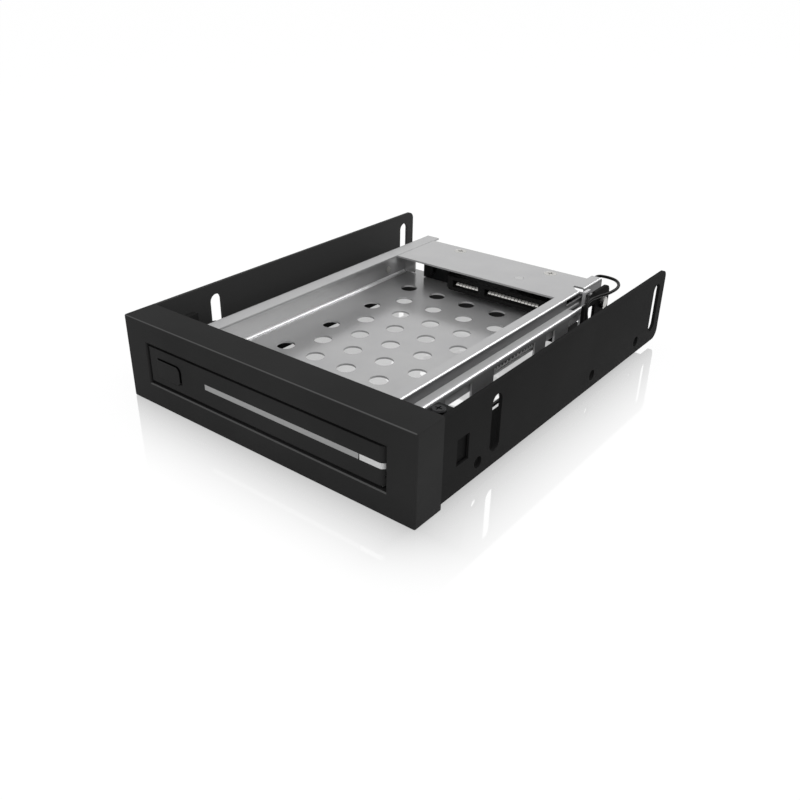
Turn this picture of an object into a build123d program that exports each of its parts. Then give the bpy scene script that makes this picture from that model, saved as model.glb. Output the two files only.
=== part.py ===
"""Hot swap drive cage: a 3.5 inch bay frame that takes one 2.5 inch drive behind a swinging door.

X runs to the right, Y from the bezel to the rear and Z up. The origin is at the middle of the
footprint, on the underside. Places along Y are given as distances behind the bezel's front face.
"""
import os
from math import atan2, cos, degrees, pi, radians, sin, tan

from build123d import *

# Drive that the cage takes
DRIVE_WIDTH = 69.85
DRIVE_HEIGHT = 9.5
DRIVE_LENGTH = 100.2
DRIVE_FRONT = 7.0
DRIVE_PLAY = 0.35

# Overall size of the cage
SIDE_ROOM = 31.75
WIDTH = DRIVE_WIDTH + SIDE_ROOM
LENGTH = 132.0
HEIGHT = 25.4

# Clearances
CLEAR = 0.3
FIT = 0.05
OVERRUN = 1.0

# Bezel moulding
BEZEL_DEPTH = 10.0
BEZEL_WALL = 2.0
BEZEL_EDGE = 0.5
BEZEL_SIDE = 8.5
OPENING_LOW = 6.7
OPENING_HIGH = 19.0
OPENING_EDGE = 0.3
FRAME_WALL = 1.6
EAR_THICK = 2.0
EAR_LOW = 6.5
EAR_HIGH = 19.0
EAR_LENGTH = 13.0
NIB_PROUD = 0.8
SILL_DEPTH = 2.4
SILL_SHELF = 4.0

# Mounting bracket sheet
PLATE_THICK = 1.0
PLATE_LOW = 1.94
PLATE_HIGH = 25.2
PLATE_TOP_RADIUS = 2.5
PLATE_LOW_RADIUS = 3.0
FLANGE_WIDTH = 12.8
STRAP_FRONT = 106.0
STRAP_DEPTH = 18.0
SIDE_HOLE_RADIUS = 1.6
SIDE_HOLE_HEIGHT = 6.0
SIDE_HOLE_FRONT = 25.0
SIDE_HOLE_MIDDLE = 85.0
SIDE_HOLE_REAR = 115.0
SIDE_SLOT_WIDTH = 4.4
SIDE_SLOT_LOW = 5.8
SIDE_SLOT_HIGH = 21.8
SIDE_SLOT_FRONT = 32.2
SIDE_SLOT_INSET = 5.7
CLIP_FRONT = 15.6
CLIP_REAR = 20.5
CLIP_LOW = 9.4
CLIP_HIGH = 16.5
LUG_GAP = 0.9
LUG_FRONT = 104.5
LUG_STEP = 111.3
LUG_REAR = 121.5
LUG_LOW_TOP = 17.3
LUG_TOP = 20.2
LUG_RADIUS = 2.5
LUG_WINDOW_FRONT = 107.2
LUG_WINDOW_REAR = 112.0
LUG_WINDOW_LOW = 6.0
LUG_WINDOW_HIGH = 16.2
LUG_HOLE_BACK = 116.9
LUG_HOLE_HEIGHT = 15.3
LEFT_LUG_FRONT = 98.0
LEFT_LUG_DEPTH = 10.0
LEFT_LUG_TOP = 15.5
LEFT_HOLE_HEIGHT = 12.4

# Drive tray sheet
TRAY_THICK = 0.6
TRAY_SIDE_ROOM = 11.5
TRAY_FLOOR = 9.2
TRAY_BEND = 0.9
TRAY_REAR = 126.6
LEFT_RAIL = 5.7
RIGHT_RAIL = 3.7
FLOOR_REAR = 117.0
RIGHT_TAIL_LOW = 13.8
STOP_TAB_BACK = 113.0
STOP_TAB_WIDTH = 4.4
STOP_TAB_TOP = 18.0
BRIDGE_FRONT = 101.3
BRIDGE_REAR = 123.0
SEAM = 0.15
VENT_RADIUS = 2.8
VENT_PITCH_Y = 10.22
VENT_STAGGER = 5.8
VENT_INSET_LEFT = 12.4
VENT_INSET_RIGHT = 10.9
VENT_REAR = 99.8
VENT_ROWS = 8
VENTS_IN_ROW = 5

# Channel along the tray's right wall
CHANNEL_WIDTH = 3.2
CHANNEL_TOP = 15.9
CHANNEL_LOW = 8.6
CHANNEL_FRONT = 11.0
CHANNEL_REAR = 110.0
WINDOW_LOW = 9.5
WINDOW_HIGH = 14.4
WELD_TAB_LOW = 12.0
WELD_TAB_PLACES = ((12.0, 20.0), (46.0, 52.0), (92.0, 97.0))
WINDOW_PLACES = ((32.9, 45.2), (56.0, 78.2), (84.6, 90.1), (98.7, 106.5))

# Door on the front
DOOR_RECESS = 0.4
DOOR_GAP = 0.8
DOOR_LOW = 7.7
DOOR_HIGH = 18.2
DOOR_THICK = 2.4
DOOR_SKIN = 1.4
DOOR_WALL = 1.0
DOOR_POCKET_SKIN = 0.7
DOOR_CORNER = 1.4
LATCH_BOX_WIDTH = 19.6
LATCH_BOX_BACK = 5.8
COVER_THICK = 0.8
HINGE_INSET = 1.5
HINGE_BACK = 2.2
HINGE_PIN_RADIUS = 0.8
HINGE_BARREL_RADIUS = 1.8
LIGHT_INSET = 2.9
LENS_WIDTH = 7.6
LIGHT_SPLIT_GAP = 0.4
LIGHT_LOW = 12.2
LIGHT_HIGH = 13.75
LIGHT_DEPTH = 0.9
DOOR_SCREW_RADIUS = 0.7
DOOR_SCREW_HEAD = 1.3
DOOR_BOSS_RADIUS = 1.1
DOOR_BOSS_HEIGHT = 16.3
DOOR_BOSS_INSET = 1.4

# Button and latch bolt inside the door
BUTTON_INSET = 3.3
BUTTON_WIDTH = 9.3
BUTTON_LOW = 9.9
BUTTON_HIGH = 15.3
BUTTON_CORNER = 1.5
BUTTON_GAP = 0.2
BUTTON_LIP = 0.4
BUTTON_LIP_TOP = 0.7
BUTTON_LIP_THICK = 0.8
WEDGE_WIDTH = 1.9
WEDGE_LOW = 11.0
WEDGE_HIGH = 13.6
BOLT_LOW = 9.0
BOLT_BAR_TOP = 9.65
BOLT_NOSE_TOP = 12.0
BOLT_THICK = 1.2
BOLT_NOSE = 1.1
BOLT_PROUD = 0.5
CAM_WIDTH = 3.0
BUTTON_SPRING_RADIUS = 1.6
BUTTON_SPRING_WIRE = 0.35

# Finger on the door and slide of the ejector
FINGER_RADIUS = 5.0
FINGER_LOW = 8.4
FINGER_THICK = 1.2
FINGER_PIN_RADIUS = 0.8
FINGER_WIDTH = 3.0
FINGER_PLAY = 0.45
SLIDE_GAP = 1.0
SLIDE_THICK = 1.0
SLIDE_LOW = 9.9
SLIDE_HIGH = 14.8
SLIDE_WAIST_LOW = 11.0
SLIDE_WAIST_FRONT = 22.0
SLIDE_TAB_THICK = 1.0
SLIDE_TAB_WALL = 1.0
SLIDE_TAIL_HIGH = 19.4
SLIDE_TAIL_WALL = 0.7
SPRING_FRONT = 55.4
SPRING_REAR = 79.6
SPRING_RADIUS = 1.1
SPRING_WIRE = 0.3
SPRING_HEIGHT = 12.9
SPRING_TAB = 0.8

# Ejector lever under the bridge
LEVER_PIVOT_INSET = 21.1
LEVER_PIVOT_BACK = 109.1
LEVER_LOW = 17.4
LEVER_THICK = 1.0
LEVER_HUB_RADIUS = 3.2
LEVER_PIN_RADIUS = 1.5
LEVER_ARM_WIDTH = 3.2
LEVER_TIP_WIDTH = 1.5
LEVER_REACH = 24.6
LEVER_NOSE_WIDTH = 3.0
LEVER_NOSE_INSET = 0.5
LEVER_SLOT_LOW = 17.0
LEVER_NOTCH_FRONT = 110.6
LEVER_NOTCH_REAR = 114.5
PIVOT_HEAD_RADIUS = 2.6
PIVOT_HEAD_THICK = 0.5

# Backplane
BOARD_BACK = 112.0
BOARD_THICK = 1.6
BOARD_ROOM_LEFT = 9.8
BOARD_ROOM_RIGHT = 1.5
BOARD_LOW = 9.5
BOARD_HIGH = 16.4
HOLDER_HIGH = 16.9
SOCKET_OFFSET = 9.45
SOCKET_WIDTH = 40.0
SOCKET_LOW = 11.6
SOCKET_HIGH = 16.4
SOCKET_LENGTH = 9.2
SOCKET_WALL = 1.2
SOCKET_DEPTH = 6.2
SOCKET_CHAMFER = 2.0
TONGUE_INSET = 0.6
TONGUE_THICK = 0.6
CONTACT_SPACING = 1.27
CONTACT_WIDTH = 0.84
CONTACT_THICK = 0.4
CONTACT_INSET = 0.3
CONTACT_GROUP_GAP = 5.08
SIGNAL_CONTACTS = 7
POWER_CONTACTS = 15
HOLDER_THICK = 0.8
HOLDER_EAR_WIDTH = 8.0
HOLDER_EAR_INSETS = (10.4, 13.8)
HOLDER_EAR_LENGTH = 8.6
BRIDGE_SCREW_BACK = 119.6
BRIDGE_SCREW_RADIUS = 1.1
BRIDGE_SCREW_HEAD = 2.1
HOST_DEPTH = 8.6
HOST_LOW = 10.6
HOST_HIGH = 16.2
DATA_INSET = 7.9
DATA_WIDTH = 14.0
POWER_INSET = 25.9
POWER_WIDTH = 23.0
HOST_WALL = 1.0
HOST_TONGUE = 1.2
BOARD_SCREW_INSET = 3.2
BOARD_SCREW_RADIUS = 1.0
BOARD_SCREW_HEAD = 1.8
SCREW_HEAD_THICK = 1.2

# Corner blocks behind the bezel, and their screws
BLOCK_REAR = 29.5
BLOCK_WIDTH = 6.0
BLOCK_TOP = 15.4
BLOCK_SCREW_BACK = 25.2
BLOCK_GAP_FRONT = 15.0
BLOCK_GAP_REAR = 21.4
BLOCK_GAP_LOW = 9.0
BLOCK_SCREW_RADIUS = 1.2
BLOCK_SCREW_HEAD = 2.0
TRAY_SCREW_X_SHARE = 0.36
TRAY_SCREW_RADIUS = 1.0
TRAY_SCREW_HEAD = 1.9
TRAY_SCREW_LENGTH = 1.9
LUG_SCREW_RADIUS = 1.2
LUG_SCREW_HEAD = 1.9
STANDOFF_RADIUS = 1.9

# Status light, and its lead's route as X from the tray, distance behind the front, and Z
LED_OFFSET = 6.1
LED_HEIGHT = 13.0
LED_RADIUS = 1.5
LED_FRONT = 8.8
LED_BACK = 14.0
LEAD_RADIUS = 0.5
LEAD_ARC_SHARE = 0.45
LEAD_ROUTE = (
    (-3.3, 114.4, 10.8),
    (-3.3, 121.6, 11.2),
    (-1.1, 128.4, 14.8),
    (5.1, 129.6, 18.2),
    (8.7, 124.4, 18.7),
    (8.1, 117.6, 18.6),
    (6.7, 110.6, 18.4),
    (6.2, 103.6, 16.6),
    (7.1, 96.0, 13.2),
    (9.3, 86.0, 11.4),
    (10.3, 73.0, 11.5),
    (10.9, 59.0, 11.4),
    (11.6, 45.6, 12.0),
    (12.5, 34.4, 12.7),
    (12.5, 25.6, 13.0),
    (10.5, 20.6, 13.0),
    (6.1, 18.2, 13.0),
    (6.1, 14.0, 13.0),
)

# Values that follow from the sizes above
FRONT = -LENGTH / 2
OPENING_HALF = WIDTH / 2 - BEZEL_SIDE
OPENING_WIDTH = 2 * OPENING_HALF
OPENING_MIDDLE = (OPENING_LOW + OPENING_HIGH) / 2
PLATE_INNER = WIDTH / 2 - PLATE_THICK
FLANGE_EDGE = PLATE_INNER - FLANGE_WIDTH
FLANGE_TOP = PLATE_LOW + PLATE_THICK
SIDE_SLOT_REAR = LENGTH - SIDE_SLOT_INSET
TRAY_WIDTH = DRIVE_WIDTH + DRIVE_PLAY + 2 * TRAY_THICK
TRAY_LEFT = TRAY_SIDE_ROOM - WIDTH / 2
TRAY_RIGHT = TRAY_LEFT + TRAY_WIDTH
TRAY_TOP = TRAY_FLOOR + DRIVE_HEIGHT + TRAY_THICK
TRAY_UNDER = TRAY_FLOOR - TRAY_THICK
TRAY_INNER_LEFT = TRAY_LEFT + TRAY_THICK
TRAY_INNER_RIGHT = TRAY_RIGHT - TRAY_THICK
TRAY_MIDDLE = (TRAY_LEFT + TRAY_RIGHT) / 2
BRIDGE_UNDER = TRAY_TOP - TRAY_THICK
VENT_LEFT = TRAY_LEFT + VENT_INSET_LEFT
VENT_PITCH_X = (TRAY_WIDTH - VENT_INSET_LEFT - VENT_INSET_RIGHT) / (VENTS_IN_ROW - 1)
CHANNEL_RIGHT = TRAY_RIGHT + CHANNEL_WIDTH
CHANNEL_INNER = CHANNEL_RIGHT - TRAY_THICK
LUG_LEFT = CHANNEL_RIGHT + LUG_GAP
LUG_RIGHT = LUG_LEFT + PLATE_THICK
LEFT_LUG_REAR = LEFT_LUG_FRONT + LEFT_LUG_DEPTH
DOOR_LEFT = -OPENING_HALF + DOOR_GAP
DOOR_RIGHT = OPENING_HALF - DOOR_GAP
DOOR_BACK = DOOR_RECESS + DOOR_THICK
HINGE_X = DOOR_RIGHT - HINGE_INSET
BOX_RIGHT = DOOR_LEFT + LATCH_BOX_WIDTH
LIGHT_LEFT = BOX_RIGHT + LIGHT_INSET
LIGHT_SPLIT = DOOR_RIGHT - LENS_WIDTH
BUTTON_LEFT = DOOR_LEFT + BUTTON_INSET
BUTTON_RIGHT = BUTTON_LEFT + BUTTON_WIDTH
COVER_BACK = LATCH_BOX_BACK + COVER_THICK
DRIVE_REAR = DRIVE_FRONT + DRIVE_LENGTH
FINGER_OFFSET = FINGER_RADIUS * sin(radians(45))
FINGER_PIN_X = HINGE_X - FINGER_OFFSET
FINGER_PIN_BACK = HINGE_BACK + FINGER_OFFSET
FINGER_TOP = FINGER_LOW + FINGER_THICK
SLIDE_TRAVEL = 2 * FINGER_OFFSET
SLIDE_LEFT = TRAY_RIGHT + SLIDE_GAP
SLIDE_RIGHT = SLIDE_LEFT + SLIDE_THICK
SLIDE_MIDDLE = (SLIDE_LEFT + SLIDE_RIGHT) / 2
SLIDE_TAB_HALF = FINGER_PIN_RADIUS + FINGER_PLAY
SLIDE_FRONT = FINGER_PIN_BACK - SLIDE_TAB_HALF - SLIDE_TAB_WALL
LEVER_PIVOT_X = TRAY_RIGHT - LEVER_PIVOT_INSET
LEVER_ARM = SLIDE_MIDDLE - LEVER_PIVOT_X
LEVER_ANGLE = degrees(atan2(SLIDE_TRAVEL / 2, LEVER_ARM))
LEVER_HIGH = LEVER_LOW + LEVER_THICK
LEVER_TIP_BACK = LEVER_PIVOT_BACK + SLIDE_TRAVEL / 2
TAIL_HOLE_HALF = LEVER_TIP_WIDTH / 2 + CLEAR + SLIDE_THICK * tan(radians(LEVER_ANGLE)) / 2
BOARD_LEFT = TRAY_LEFT + BOARD_ROOM_LEFT
BOARD_RIGHT = TRAY_RIGHT - BOARD_ROOM_RIGHT
HOLDER_EAR_PLACES = (BOARD_LEFT + HOLDER_EAR_INSETS[0], BOARD_RIGHT - HOLDER_EAR_INSETS[1])
DATA_LEFT = BOARD_LEFT + DATA_INSET
POWER_LEFT = BOARD_LEFT + POWER_INSET
SOCKET_MIDDLE = TRAY_MIDDLE + SOCKET_OFFSET
SOCKET_LEFT = SOCKET_MIDDLE - SOCKET_WIDTH / 2
SOCKET_RIGHT = SOCKET_MIDDLE + SOCKET_WIDTH / 2
SOCKET_FRONT = BOARD_BACK - SOCKET_LENGTH
TONGUE_FRONT = SOCKET_FRONT + TONGUE_INSET
TONGUE_LOW = SOCKET_LOW + SOCKET_WALL
TONGUE_HIGH = TONGUE_LOW + TONGUE_THICK
HOLDER_FRONT = BOARD_BACK + BOARD_THICK
HOLDER_BACK = HOLDER_FRONT + HOLDER_THICK
HOST_REAR = HOLDER_BACK + HOST_DEPTH
BLOCK_LEFT = CHANNEL_RIGHT + CLEAR
LED_X = TRAY_RIGHT + LED_OFFSET
LED_BORE = LED_RADIUS + FIT


def upright(distance):
    """Plane across the cage at a distance behind the bezel's front; it extrudes forwards."""
    return Plane.XZ.offset(-(FRONT + distance))


def slab(x_low, x_high, near, far, z_low, z_high, mode=Mode.ADD):
    """Straight block between two limits on each axis, near and far being distances to the front."""
    with Locations(((x_low + x_high) / 2, FRONT + (near + far) / 2, (z_low + z_high) / 2)):
        Box(x_high - x_low, far - near, z_high - z_low, mode=mode)


def round_bar(plane, places, radius, amount, mode=Mode.ADD):
    """Cylinders of one radius on a plane, at places given in that plane."""
    with BuildSketch(plane) as ends:
        with Locations(*places):
            Circle(radius)
    extrude(ends.sketch, amount=amount, mode=mode)


def save(part, name):
    """Label a finished piece and write it."""
    part.part.label = name
    export_step(part.part, f"parts/{name}.step")


def make_front_bezel():
    """Hollow frame with the door opening, snap ears, tray sill and two corner blocks."""
    with BuildPart() as front_bezel:
        with BuildSketch(upright(BEZEL_DEPTH)):
            with Locations((0, HEIGHT / 2)):
                Rectangle(WIDTH, HEIGHT)
        extrude(amount=BEZEL_DEPTH)
        rear_face = front_bezel.faces().sort_by(Axis.Y)[-1]
        fillet(front_bezel.edges() - rear_face.edges(), BEZEL_EDGE)
        frame_width = OPENING_WIDTH + 2 * FRAME_WALL
        frame_height = OPENING_HIGH - OPENING_LOW + 2 * FRAME_WALL
        with BuildSketch(upright(BEZEL_DEPTH)):
            with Locations((0, HEIGHT / 2)):
                Rectangle(WIDTH - 2 * BEZEL_WALL, HEIGHT - 2 * BEZEL_WALL)
            with Locations((0, OPENING_MIDDLE)):
                Rectangle(frame_width, frame_height, mode=Mode.SUBTRACT)
        extrude(amount=BEZEL_DEPTH - BEZEL_WALL, mode=Mode.SUBTRACT)
        with BuildSketch(upright(BEZEL_DEPTH)):
            with Locations((0, OPENING_MIDDLE)):
                Rectangle(OPENING_WIDTH, OPENING_HIGH - OPENING_LOW)
        extrude(amount=BEZEL_DEPTH, mode=Mode.SUBTRACT)
        front_face = front_bezel.faces().sort_by(Axis.Y)[0]
        chamfer(front_face.inner_wires()[0].edges(), OPENING_EDGE)
        add_bezel_ears()
        add_bezel_sill()
        add_bezel_blocks()
        pin_place = (HINGE_X, FRONT + HINGE_BACK)
        pin_low = OPENING_LOW - FRAME_WALL
        round_bar(Plane.XY.offset(pin_low), [pin_place], HINGE_PIN_RADIUS + FIT,
                  OPENING_HIGH + FRAME_WALL - pin_low, Mode.SUBTRACT)
    save(front_bezel, "front_bezel")


def add_bezel_ears():
    """Ears inside the side plates, each with a nib for the plate's square hole."""
    for side in (-1, 1):
        outer = side * (PLATE_INNER - CLEAR)
        inner = outer - side * EAR_THICK
        ear_end = BEZEL_DEPTH + EAR_LENGTH
        slab(min(outer, inner), max(outer, inner), BEZEL_WALL, ear_end, EAR_LOW, EAR_HIGH)
        tip = outer + side * NIB_PROUD
        slab(min(outer, tip), max(outer, tip), CLIP_FRONT + CLEAR, CLIP_REAR - CLEAR,
             CLIP_LOW + CLEAR, CLIP_HIGH - CLEAR)


def add_bezel_sill():
    """Sill behind the door, with a shelf that carries the front of the tray's floor."""
    sill_back = BEZEL_DEPTH - CLEAR
    rail_left = TRAY_LEFT + LEFT_RAIL / 2
    rail_right = TRAY_RIGHT - RIGHT_RAIL / 2
    with BuildSketch(Plane.YZ.offset(rail_left)) as profile:
        with BuildLine():
            Polyline(
                (FRONT + sill_back - SILL_DEPTH, OPENING_LOW - FRAME_WALL / 2),
                (FRONT + BEZEL_DEPTH + SILL_SHELF, OPENING_LOW - FRAME_WALL / 2),
                (FRONT + BEZEL_DEPTH + SILL_SHELF, TRAY_UNDER),
                (FRONT + sill_back, TRAY_UNDER),
                (FRONT + sill_back, TRAY_FLOOR),
                (FRONT + sill_back - SILL_DEPTH / 2, TRAY_FLOOR),
                (FRONT + sill_back - SILL_DEPTH, OPENING_LOW + FRAME_WALL / 2),
                close=True,
            )
        make_face()
    extrude(profile.sketch, amount=rail_right - rail_left)
    for x in tray_screw_places():
        round_bar(Plane.XY.offset(TRAY_UNDER), [(x, FRONT + BEZEL_DEPTH + SILL_SHELF / 2)],
                  TRAY_SCREW_RADIUS + FIT, -TRAY_SCREW_LENGTH, Mode.SUBTRACT)


def add_bezel_blocks():
    """Corner blocks on the bracket's bottom flanges, the right one holding the status light."""
    for left in (BLOCK_LEFT, TRAY_LEFT - CLEAR - BLOCK_WIDTH):
        slab(left, left + BLOCK_WIDTH, BEZEL_DEPTH - BEZEL_WALL, BLOCK_REAR,
             FLANGE_TOP, OPENING_LOW)
        slab(left, left + BLOCK_WIDTH, BEZEL_DEPTH, BLOCK_REAR, FLANGE_TOP, BLOCK_TOP)
    for x in block_screw_places():
        round_bar(Plane.XY.offset(FLANGE_TOP), [(x, FRONT + BLOCK_SCREW_BACK)],
                  BLOCK_SCREW_RADIUS + FIT, BLOCK_TOP - FLANGE_TOP, Mode.SUBTRACT)
    slab(BLOCK_LEFT, BLOCK_LEFT + BLOCK_WIDTH, BLOCK_GAP_FRONT, BLOCK_GAP_REAR,
         BLOCK_GAP_LOW, BLOCK_TOP, Mode.SUBTRACT)
    round_bar(upright(BLOCK_GAP_FRONT), [(LED_X, LED_HEIGHT)], LED_BORE,
              BLOCK_GAP_FRONT - BEZEL_DEPTH, Mode.SUBTRACT)


def block_screw_places():
    """Middles of the screws through the two corner blocks."""
    right = BLOCK_LEFT + BLOCK_WIDTH / 2
    left = TRAY_LEFT - CLEAR - BLOCK_WIDTH / 2
    return (left, right)


def tray_screw_places():
    """Middles of the screws through the front of the tray's floor."""
    reach = (TRAY_RIGHT - TRAY_LEFT) * TRAY_SCREW_X_SHARE
    return (TRAY_MIDDLE - reach, TRAY_MIDDLE + reach)


def side_profile(x):
    """Outline of one side plate, on an upright plane at x."""
    with BuildSketch(Plane.YZ.offset(x)) as outline:
        with BuildLine():
            Polyline(
                (FRONT + BEZEL_DEPTH, PLATE_LOW),
                (FRONT + LENGTH, PLATE_LOW),
                (FRONT + LENGTH, PLATE_HIGH),
                (FRONT + BEZEL_DEPTH, PLATE_HIGH),
                close=True,
            )
        make_face()
        fillet(outline.vertices().group_by(Axis.X)[-1].sort_by(Axis.Y)[0], PLATE_LOW_RADIUS)
        fillet(outline.vertices().group_by(Axis.X)[-1].sort_by(Axis.Y)[-1], PLATE_TOP_RADIUS)
        with Locations(*[(FRONT + y, SIDE_HOLE_HEIGHT)
                         for y in (SIDE_HOLE_FRONT, SIDE_HOLE_MIDDLE, SIDE_HOLE_REAR)]):
            Circle(SIDE_HOLE_RADIUS, mode=Mode.SUBTRACT)
        slot_middle = (SIDE_SLOT_LOW + SIDE_SLOT_HIGH) / 2
        with Locations(*[(FRONT + y, slot_middle) for y in (SIDE_SLOT_FRONT, SIDE_SLOT_REAR)]):
            SlotOverall(SIDE_SLOT_HIGH - SIDE_SLOT_LOW, SIDE_SLOT_WIDTH, rotation=90,
                        mode=Mode.SUBTRACT)
        with Locations((FRONT + (CLIP_FRONT + CLIP_REAR) / 2, (CLIP_LOW + CLIP_HIGH) / 2)):
            Rectangle(CLIP_REAR - CLIP_FRONT, CLIP_HIGH - CLIP_LOW, mode=Mode.SUBTRACT)
    return outline.sketch


def make_mounting_bracket():
    """Two side plates on bottom flanges, tied by a strap at the rear, with lugs for the tray."""
    with BuildPart() as mounting_bracket:
        for x in (-WIDTH / 2, PLATE_INNER):
            extrude(side_profile(x), amount=PLATE_THICK)
        for side in (-1, 1):
            low, high = sorted((side * FLANGE_EDGE, side * (PLATE_INNER + PLATE_THICK / 2)))
            slab(low, high, BEZEL_DEPTH, STRAP_FRONT + STRAP_DEPTH, PLATE_LOW, FLANGE_TOP)
        slab(-FLANGE_EDGE - OVERRUN, FLANGE_EDGE + OVERRUN, STRAP_FRONT,
             STRAP_FRONT + STRAP_DEPTH, PLATE_LOW, FLANGE_TOP)
        slab(LUG_LEFT, FLANGE_EDGE + OVERRUN, LUG_FRONT, LUG_REAR, PLATE_LOW, FLANGE_TOP)
        with BuildSketch(Plane.YZ.offset(LUG_LEFT)) as lug:
            with BuildLine():
                Polyline(
                    (FRONT + LUG_FRONT, PLATE_LOW),
                    (FRONT + LUG_REAR, PLATE_LOW),
                    (FRONT + LUG_REAR, LUG_TOP),
                    (FRONT + LUG_STEP, LUG_TOP),
                    (FRONT + LUG_STEP - LUG_TOP + LUG_LOW_TOP, LUG_LOW_TOP),
                    (FRONT + LUG_FRONT, LUG_LOW_TOP),
                    close=True,
                )
            make_face()
            fillet(lug.vertices().group_by(Axis.X)[-1].sort_by(Axis.Y)[-1], LUG_RADIUS)
            with Locations((FRONT + (LUG_WINDOW_FRONT + LUG_WINDOW_REAR) / 2,
                            (LUG_WINDOW_LOW + LUG_WINDOW_HIGH) / 2)):
                Rectangle(LUG_WINDOW_REAR - LUG_WINDOW_FRONT, LUG_WINDOW_HIGH - LUG_WINDOW_LOW,
                          mode=Mode.SUBTRACT)
            with Locations((FRONT + LUG_HOLE_BACK, LUG_HOLE_HEIGHT)):
                Circle(LUG_SCREW_RADIUS + FIT, mode=Mode.SUBTRACT)
        extrude(amount=PLATE_THICK)
        left_face = TRAY_LEFT - PLATE_THICK
        slab(left_face, TRAY_LEFT, LEFT_LUG_FRONT, LEFT_LUG_REAR, PLATE_LOW, LEFT_LUG_TOP)
        left_middle = (LEFT_LUG_FRONT + LEFT_LUG_REAR) / 2
        round_bar(Plane.YZ.offset(left_face), [(FRONT + left_middle, LEFT_HOLE_HEIGHT)],
                  LUG_SCREW_RADIUS + FIT, PLATE_THICK, Mode.SUBTRACT)
        for x in block_screw_places():
            round_bar(Plane.XY.offset(PLATE_LOW), [(x, FRONT + BLOCK_SCREW_BACK)],
                      BLOCK_SCREW_RADIUS + FIT, PLATE_THICK, Mode.SUBTRACT)
    save(mounting_bracket, "mounting_bracket")


def make_drive_tray():
    """Folded tray: vented floor, two walls with rails turned inwards, and the rear bridge."""
    with BuildPart() as drive_tray:
        with BuildSketch(upright(TRAY_REAR)):
            with BuildLine():
                FilletPolyline(
                    (TRAY_LEFT + LEFT_RAIL, TRAY_TOP),
                    (TRAY_LEFT, TRAY_TOP),
                    (TRAY_LEFT, TRAY_UNDER),
                    (TRAY_RIGHT, TRAY_UNDER),
                    (TRAY_RIGHT, TRAY_TOP),
                    (TRAY_RIGHT - RIGHT_RAIL, TRAY_TOP),
                    radius=TRAY_BEND,
                )
                offset(amount=TRAY_THICK, side=Side.LEFT)
            make_face()
        extrude(amount=TRAY_REAR - BEZEL_DEPTH)
        slab(TRAY_LEFT - OVERRUN, TRAY_RIGHT - TRAY_THICK - FIT, FLOOR_REAR,
             TRAY_REAR + OVERRUN, TRAY_UNDER - OVERRUN, RIGHT_TAIL_LOW, Mode.SUBTRACT)
        slab(TRAY_INNER_RIGHT - OVERRUN, TRAY_RIGHT + OVERRUN, FLOOR_REAR,
             TRAY_REAR + OVERRUN, TRAY_UNDER - OVERRUN, RIGHT_TAIL_LOW, Mode.SUBTRACT)
        slab(TRAY_LEFT - OVERRUN, TRAY_INNER_LEFT + OVERRUN, STOP_TAB_BACK + TRAY_THICK,
             TRAY_REAR + OVERRUN, TRAY_UNDER - OVERRUN, BRIDGE_UNDER - FIT, Mode.SUBTRACT)
        slab(TRAY_INNER_LEFT - TRAY_THICK / 2, TRAY_INNER_LEFT + STOP_TAB_WIDTH, STOP_TAB_BACK,
             STOP_TAB_BACK + TRAY_THICK, TRAY_FLOOR + CLEAR, STOP_TAB_TOP)
        slab(TRAY_LEFT + LEFT_RAIL + SEAM, TRAY_RIGHT - RIGHT_RAIL + OVERRUN, BRIDGE_FRONT,
             BRIDGE_REAR, BRIDGE_UNDER, TRAY_TOP)
        with BuildSketch(Plane.XY.offset(TRAY_UNDER)):
            for row in range(VENT_ROWS):
                shift = VENT_STAGGER * (row % 2)
                with Locations(*[(VENT_LEFT + shift + VENT_PITCH_X * place,
                                  FRONT + VENT_REAR - VENT_PITCH_Y * row)
                                 for place in range(VENTS_IN_ROW - row % 2)]):
                    Circle(VENT_RADIUS)
        extrude(amount=TRAY_THICK, mode=Mode.SUBTRACT)
        cut_tray_slots()
    save(drive_tray, "drive_tray")


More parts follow.
